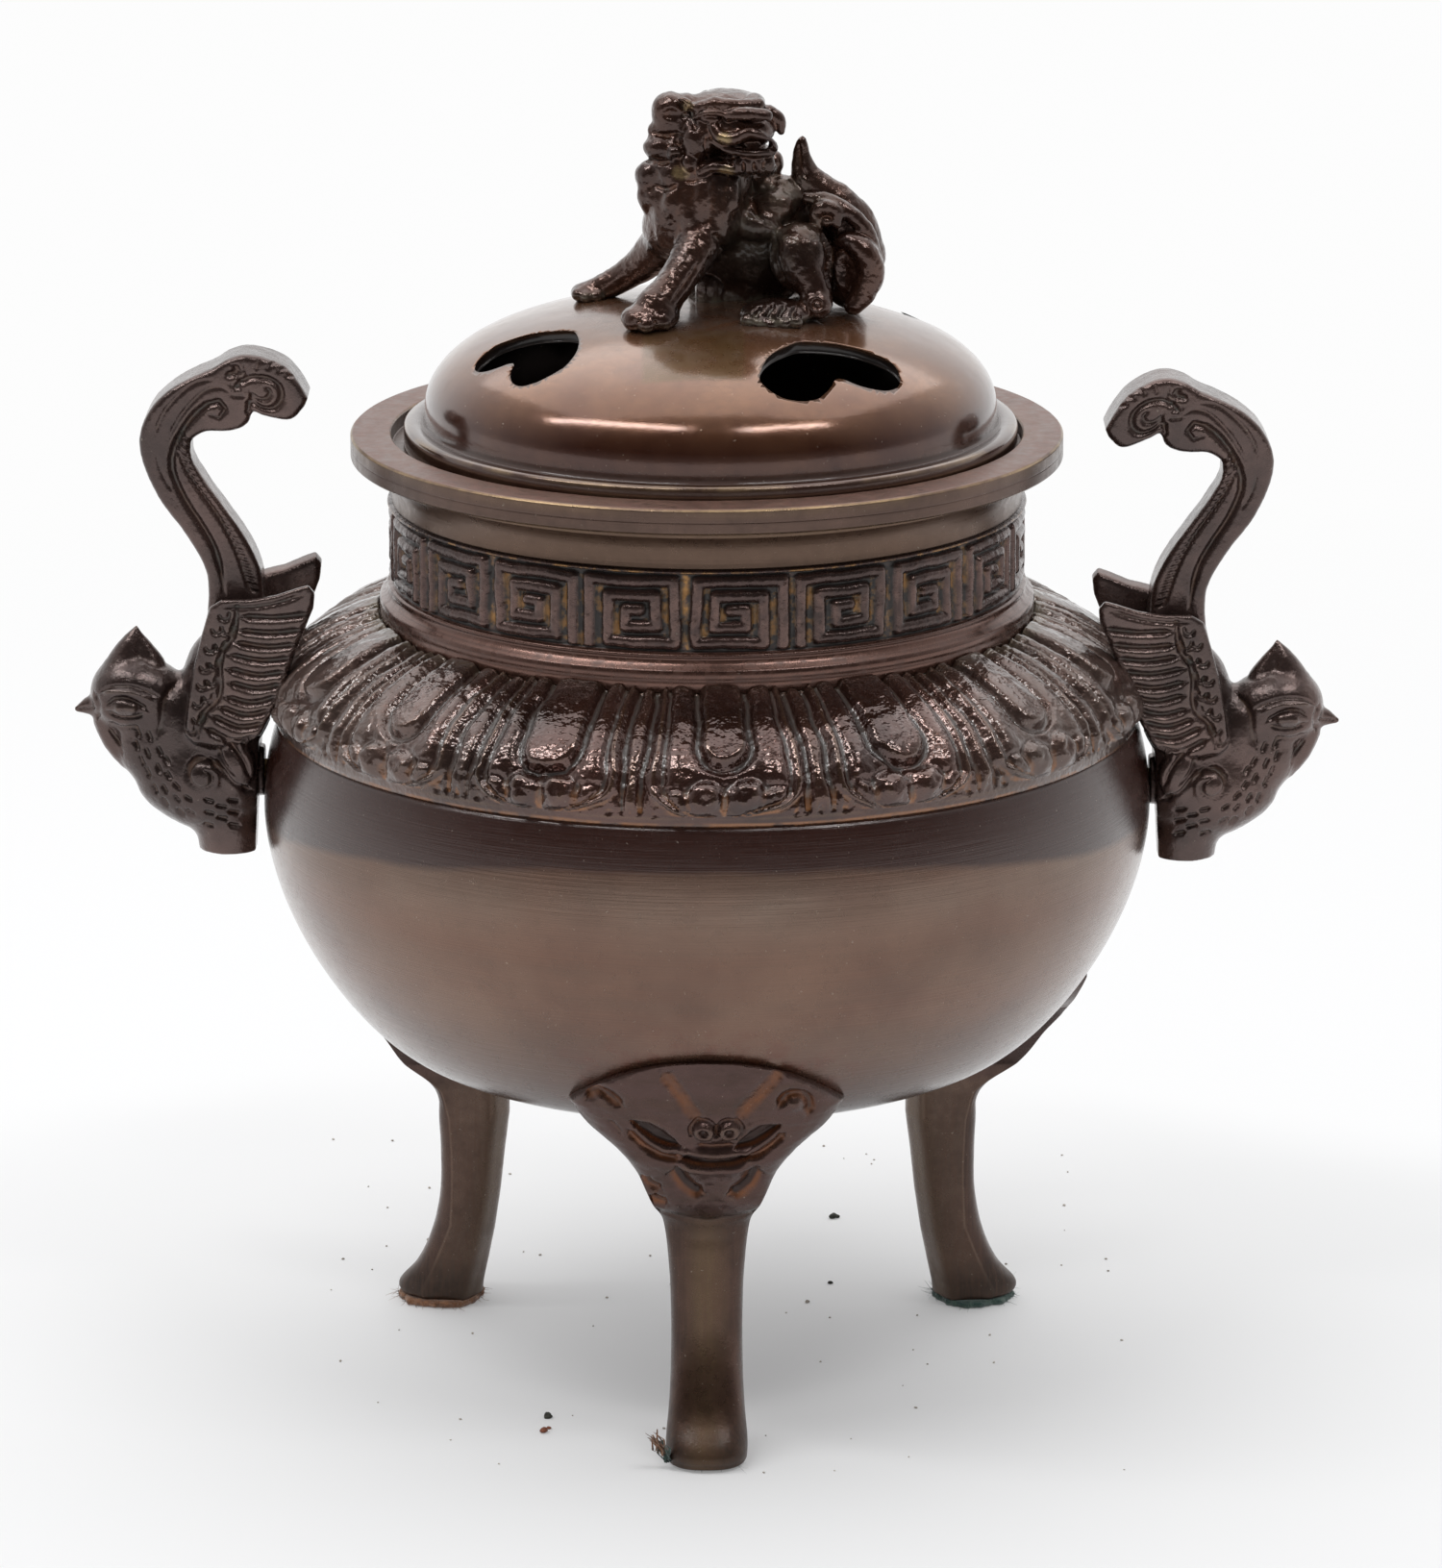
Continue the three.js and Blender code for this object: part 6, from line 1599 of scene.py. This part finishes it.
def with_fibre(verts, faces, path, thick, taper):
    """The mesh with a three-sided fibre added along three points; it thins by the taper at each."""
    sides = np.array([(1, 0, 0), (-0.5, 0.87, 0), (-0.5, -0.4, 0.8)])
    tube = np.vstack([p + thick * (1 - taper * n) * sides for n, p in enumerate(path)])
    walls = grid_faces(3, 3)[:, [0, 1, 2, 0, 2, 3]].reshape(-1, 3) + len(verts)
    return np.vstack([verts, tube]), np.vstack([faces, walls])


def make_pads():
    rng = np.random.default_rng(77)

    def felt(name, colour_a, colour_b):
        look = Look(name)
        tone = look.noise(1.2, 5)
        colour = look.mix(look.ramp(tone, 0.38, 0.62), colour_a, colour_b)
        normal = look.bump(look.noise(4.0, 4), 0.25)
        return look.finish(colour, 0.95, normal, 0.0, Sheen_Weight=0.4, Sheen_Roughness=0.6)

    green = felt("green_felt", (0.012, 0.055, 0.045), (0.05, 0.1, 0.075))
    brown = felt("brown_felt", (0.16, 0.062, 0.02), (0.3, 0.13, 0.05))

    def pad(name, node, turn_degrees, grow, side_grow, look, seed):
        angle = circle_angles(PAD_POINTS)
        x = 5.0 * np.sign(np.cos(angle)) * np.abs(np.cos(angle)) ** 0.85
        rho = 41.2 + 5.2 * np.sign(np.sin(angle)) * np.abs(np.sin(angle)) ** 0.9
        out = circle(angle)
        ring = np.stack([x, rho], 1)
        spots = np.column_stack([ring, np.full(PAD_POINTS, seed)])
        wander = 0.5 * lattice_noise(spots, 1.6, seed)
        wander += 0.3 * lattice_noise(spots, 0.5, seed + 1)
        reach = grow + side_grow * np.clip(np.cos(angle - 0.4), 0, 1) ** 3 + wander
        edge = ring + out * reach[:, None]
        rows = []
        for share, height in ((0.0, 1.05), (0.8, 1.05), (0.96, 0.95), (1.0, 0.6), (0.98, 0.15), (0.9, 0.02),
                (0.0, 0.02)):
            flat = ring.mean(0) + (edge - ring.mean(0)) * share
            rows.append(np.column_stack([flat[:, 0], -flat[:, 1], np.full(PAD_POINTS, height)]))
        verts = np.vstack(rows)
        verts += 0.08 * lattice_noise(verts, 0.6, seed + 2)[:, None] * (verts[:, 2:] > 0.1) * (verts[:, 2:] < 1)
        verts[:, 2] = np.clip(verts[:, 2], 0.0, 1.2)
        faces = triangles(grid_faces(len(rows), PAD_POINTS, flip=True))
        # loose fibres round the edge
        for _ in range(PAD_FIBRES):
            k = rng.integers(0, PAD_POINTS)
            start = np.array([edge[k, 0], -edge[k, 1], rng.uniform(0.2, 0.9)])
            away = np.array([out[k, 0], -out[k, 1], rng.uniform(-0.3, 0.5)]) + rng.normal(0, 0.6, 3)
            length = rng.uniform(0.3, 1.0) * (0.5 + max(reach[k] - grow + 0.4, 0))
            bend = rng.normal(0, 0.35, 3)
            path = [start + away * length * t + bend * t * t for t in (0, 0.5, 1)]
            path = [np.array([p[0], p[1], max(p[2], 0.08)]) for p in path]
            verts, faces = with_fibre(verts, faces, path, 0.05, 0.35)
        verts = spun(verts, math.radians(turn_degrees))
        verts[:, 2] = np.maximum(verts[:, 2], 0)
        piece(name, verts, faces, look, "censer", [node])

    pad("front_felt", "front_pad", 0, -1.4, 0.2, green, 11)
    pad("right_rear_felt", "right_rear_pad", 120, 0.2, 0.3, green, 12)
    pad("left_rear_felt", "left_rear_pad", 240, 0.1, 0.5, brown, 13)

    # a shred of felt beside the front foot, green at its root and brown at its frayed end
    for name, look, slot, root, tip, count, thick in (
        ("felt_shred_green", green, "green_felt", (-4.9, -44.4, 1.0), (-5.6, -44.9, 3.4), 16, 0.26),
        ("felt_shred_brown", brown, "brown_felt", (-5.4, -44.8, 2.2), (-6.8, -45.2, 4.6), 20, 0.27),
    ):
        verts, faces = np.zeros((0, 3)), np.zeros((0, 3), int)
        root, tip = np.array(root), np.array(tip)
        for _ in range(count):
            start = root + rng.normal(0, 0.18, 3)
            stop = tip + rng.normal(0, 0.38, 3)
            middle = (start + stop) / 2 + rng.normal(0, 0.35, 3)
            verts, faces = with_fibre(verts, faces, (start, middle, stop), thick, 0.3)
        verts[:, 2] = np.maximum(verts[:, 2], 0.05)
        piece(name, verts, faces, look, "censer")


# Fastenings keep their CAD shape and get a brass finish

def brass_fastenings():
    look = Look("fastener_brass")
    tone = look.noise(0.5, 4)
    colour = look.mix(look.ramp(tone, 0.4, 0.65), (0.36, 0.24, 0.1), (0.17, 0.1, 0.05))
    made = look.finish(colour, look.ramp(tone, 0.3, 0.7, 0.3, 0.5), look.bump(look.noise(3, 3), 0.02))
    names = ["finial_washer", "finial_nut", "left_handle_rivet", "right_handle_rivet"]
    names += [f"{place}_leg_rivet" for place in ("front", "right_rear", "left_rear")]
    for name in names:
        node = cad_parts[name]
        node.data.materials.clear()
        node.data.materials.append(made)


make_bowl()
make_collar()
make_neck()
make_rim()
make_cover()
make_legs()
make_birds()
make_lion()
make_pads()
brass_fastenings()


# Stage: white seamless floor, specks of dust, soft lights and the camera at the photo's viewpoint

def make_floor():
    """A white sweep whose colour is lifted away from the object, for camera and mirror rays only."""
    size, back = 8.0, 4.0
    mesh = bpy.data.meshes.new("floor")
    mesh.from_pydata([(-size, -back, 0), (size, -back, 0), (size, size, 0), (-size, size, 0)], [], [(0, 1, 2, 3)])
    floor = linked("floor", mesh)
    look = Look("floor_white")
    shader = look.shader
    socket_set(shader, Base_Color=(0.8, 0.8, 0.8, 1), Roughness=0.8)
    far = look.ramp(look.length(look.place), 0.02, 0.5, 0.15, 1)
    path = look.node("ShaderNodeLightPath")
    seen = look.math("MAXIMUM", path.outputs["Is Camera Ray"], path.outputs["Is Glossy Ray"])
    seen = look.math("MAXIMUM", seen, path.outputs["Is Transmission Ray"])
    glow = look.node("ShaderNodeEmission")
    glow.inputs["Color"].default_value = (0.98, 0.98, 0.98, 1)
    blend = look.shaders(look.times(seen, far), shader.outputs["BSDF"], glow.outputs["Emission"])
    look.link(blend, look.tree.nodes["Material Output"].inputs["Surface"])
    mesh.materials.append(look.material)


def make_specks():
    """Crumbs and dust lying on the floor round the feet, as in the photo."""
    rng = np.random.default_rng(19)
    tones = {"dark_crumb": (0.03, 0.03, 0.024), "rust_crumb": (0.16, 0.055, 0.03), "dust_grain": (0.3, 0.27, 0.23)}
    looks = {}
    for name, tone in tones.items():
        look = Look(name)
        looks[name] = look.finish(look.mix(look.ramp(look.noise(2.5, 2), 0.4, 0.6), tone,
            tuple(1.6 * t for t in tone)), 0.9, None, 0.0)
    spots = [(17.3, 52.7, 0.6, "dark_crumb"), (17.9, 52.9, 0.35, "dark_crumb"), (16.6, 25.4, 0.3, "dark_crumb"),
        (-4.7, 24.4, 0.4, "dark_crumb"), (13.4, 17.8, 0.3, "dust_grain"), (-20.9, -31.4, 0.5, "rust_crumb"),
        (-20.4, -26.2, 0.55, "dark_crumb"),
             (-20.2, -30.2, 0.3, "rust_crumb")]
    spots += [(rng.uniform(-55, 60), rng.uniform(-48, 90), rng.uniform(0.1, 0.2), "dust_grain") for _ in range(70)]
    u, v = np.meshgrid(np.linspace(0, 2 * math.pi, 9)[:-1], np.linspace(0.02, math.pi - 0.02, 6))
    for n, (x, y, size, name) in enumerate(spots):
        ball = np.stack([np.sin(v) * np.cos(u) * 1.3, np.sin(v) * np.sin(u), np.cos(v) * 0.6 + 0.5], 2).reshape(-1, 3)
        ball = ball * (1 + 0.35 * lattice_noise(ball + n * 7.3, 0.8, 400 + n))[:, None]
        ball[:, 2] = np.maximum(ball[:, 2], 0)
        ball = spun(ball, rng.uniform(0, math.pi)) * size + (x, y, 0.02)
        mesh = bpy.data.meshes.new(f"crumb_{n}")
        mesh.from_pydata((ball * MM).tolist(), [], grid_faces(6, 8).tolist())
        mesh.shade_smooth()
        crumb = linked(f"crumb_{n}", mesh)
        mesh.materials.append(looks[name])


def make_world():
    """White backdrop behind the object, a dim room in front of it, and an even fill."""
    world = bpy.data.worlds.new("studio")
    bpy.context.scene.world = world
    world.use_nodes = True
    world.node_tree.nodes.clear()
    nodes = Nodes(world.node_tree)

    def background(colour, strength):
        made = nodes.node("ShaderNodeBackground")
        nodes.feed(made.inputs["Color"], colour)
        nodes.feed(made.inputs["Strength"], strength)
        return made.outputs["Background"]

    path = nodes.node("ShaderNodeLightPath").outputs
    _, y, z = nodes.split(nodes.node("ShaderNodeTexCoord").outputs["Generated"])
    behind, skirting = nodes.ramp(y, -0.6, 0.6, 0.05, 1.0), nodes.ramp(z, 0.3, 0.05, 0.0, 0.22)
    room = background((1, 1, 1), nodes.math("MAXIMUM", behind, skirting))
    lit = nodes.shaders(path["Is Glossy Ray"], background((0.97, 0.98, 1), 0.6), room)
    world_output = nodes.node("ShaderNodeOutputWorld")
    nodes.link(nodes.shaders(path["Is Camera Ray"], lit, background((1, 1, 1), 1.0)), world_output.inputs["Surface"])


def make_light(name, place, target, width, height, power, along=(1, 0, 0)):
    data = bpy.data.lights.new(name, "AREA")
    data.shape = "RECTANGLE"
    data.size, data.size_y = width, height
    data.energy = power
    light = linked(name, data)
    back = (Vector(place) - Vector(target)).normalized()
    side = (Vector(along) - back * back.dot(Vector(along))).normalized()
    light.matrix_world = Matrix.Translation(place) @ Matrix((side, back.cross(side), back)).transposed().to_4x4()


CAMERA_PLACE, CAMERA_LENS, CAMERA_DOWN = (0.0018, -0.895, 0.325), 165.4, 15.48


def make_camera():
    data = bpy.data.cameras.new("camera")
    data.lens = CAMERA_LENS
    data.sensor_width = 36
    data.clip_start, data.clip_end = 0.05, 50
    camera = linked("camera", data)
    camera.location = CAMERA_PLACE
    camera.rotation_euler = (math.radians(90 - CAMERA_DOWN), 0, 0)
    bpy.context.scene.camera = camera


make_floor()
make_specks()
make_world()
make_light("top_softbox", (0, 0.4, 1.1), (0, -0.03, 0.05), 1.7, 1.3, 8)
make_light("left_strip", (-0.5, -0.31, 1.02), (0, 0, 0.13), 0.85, 0.1, 3.8, (0.9, -0.43, 0))
make_light("right_strip", (0.4, -0.42, 1.0), (0, 0, 0.13), 0.5, 0.1, 2.0, (0.8, 0.35, 0))
make_camera()
bpy.context.scene.view_settings.view_transform = "Standard"
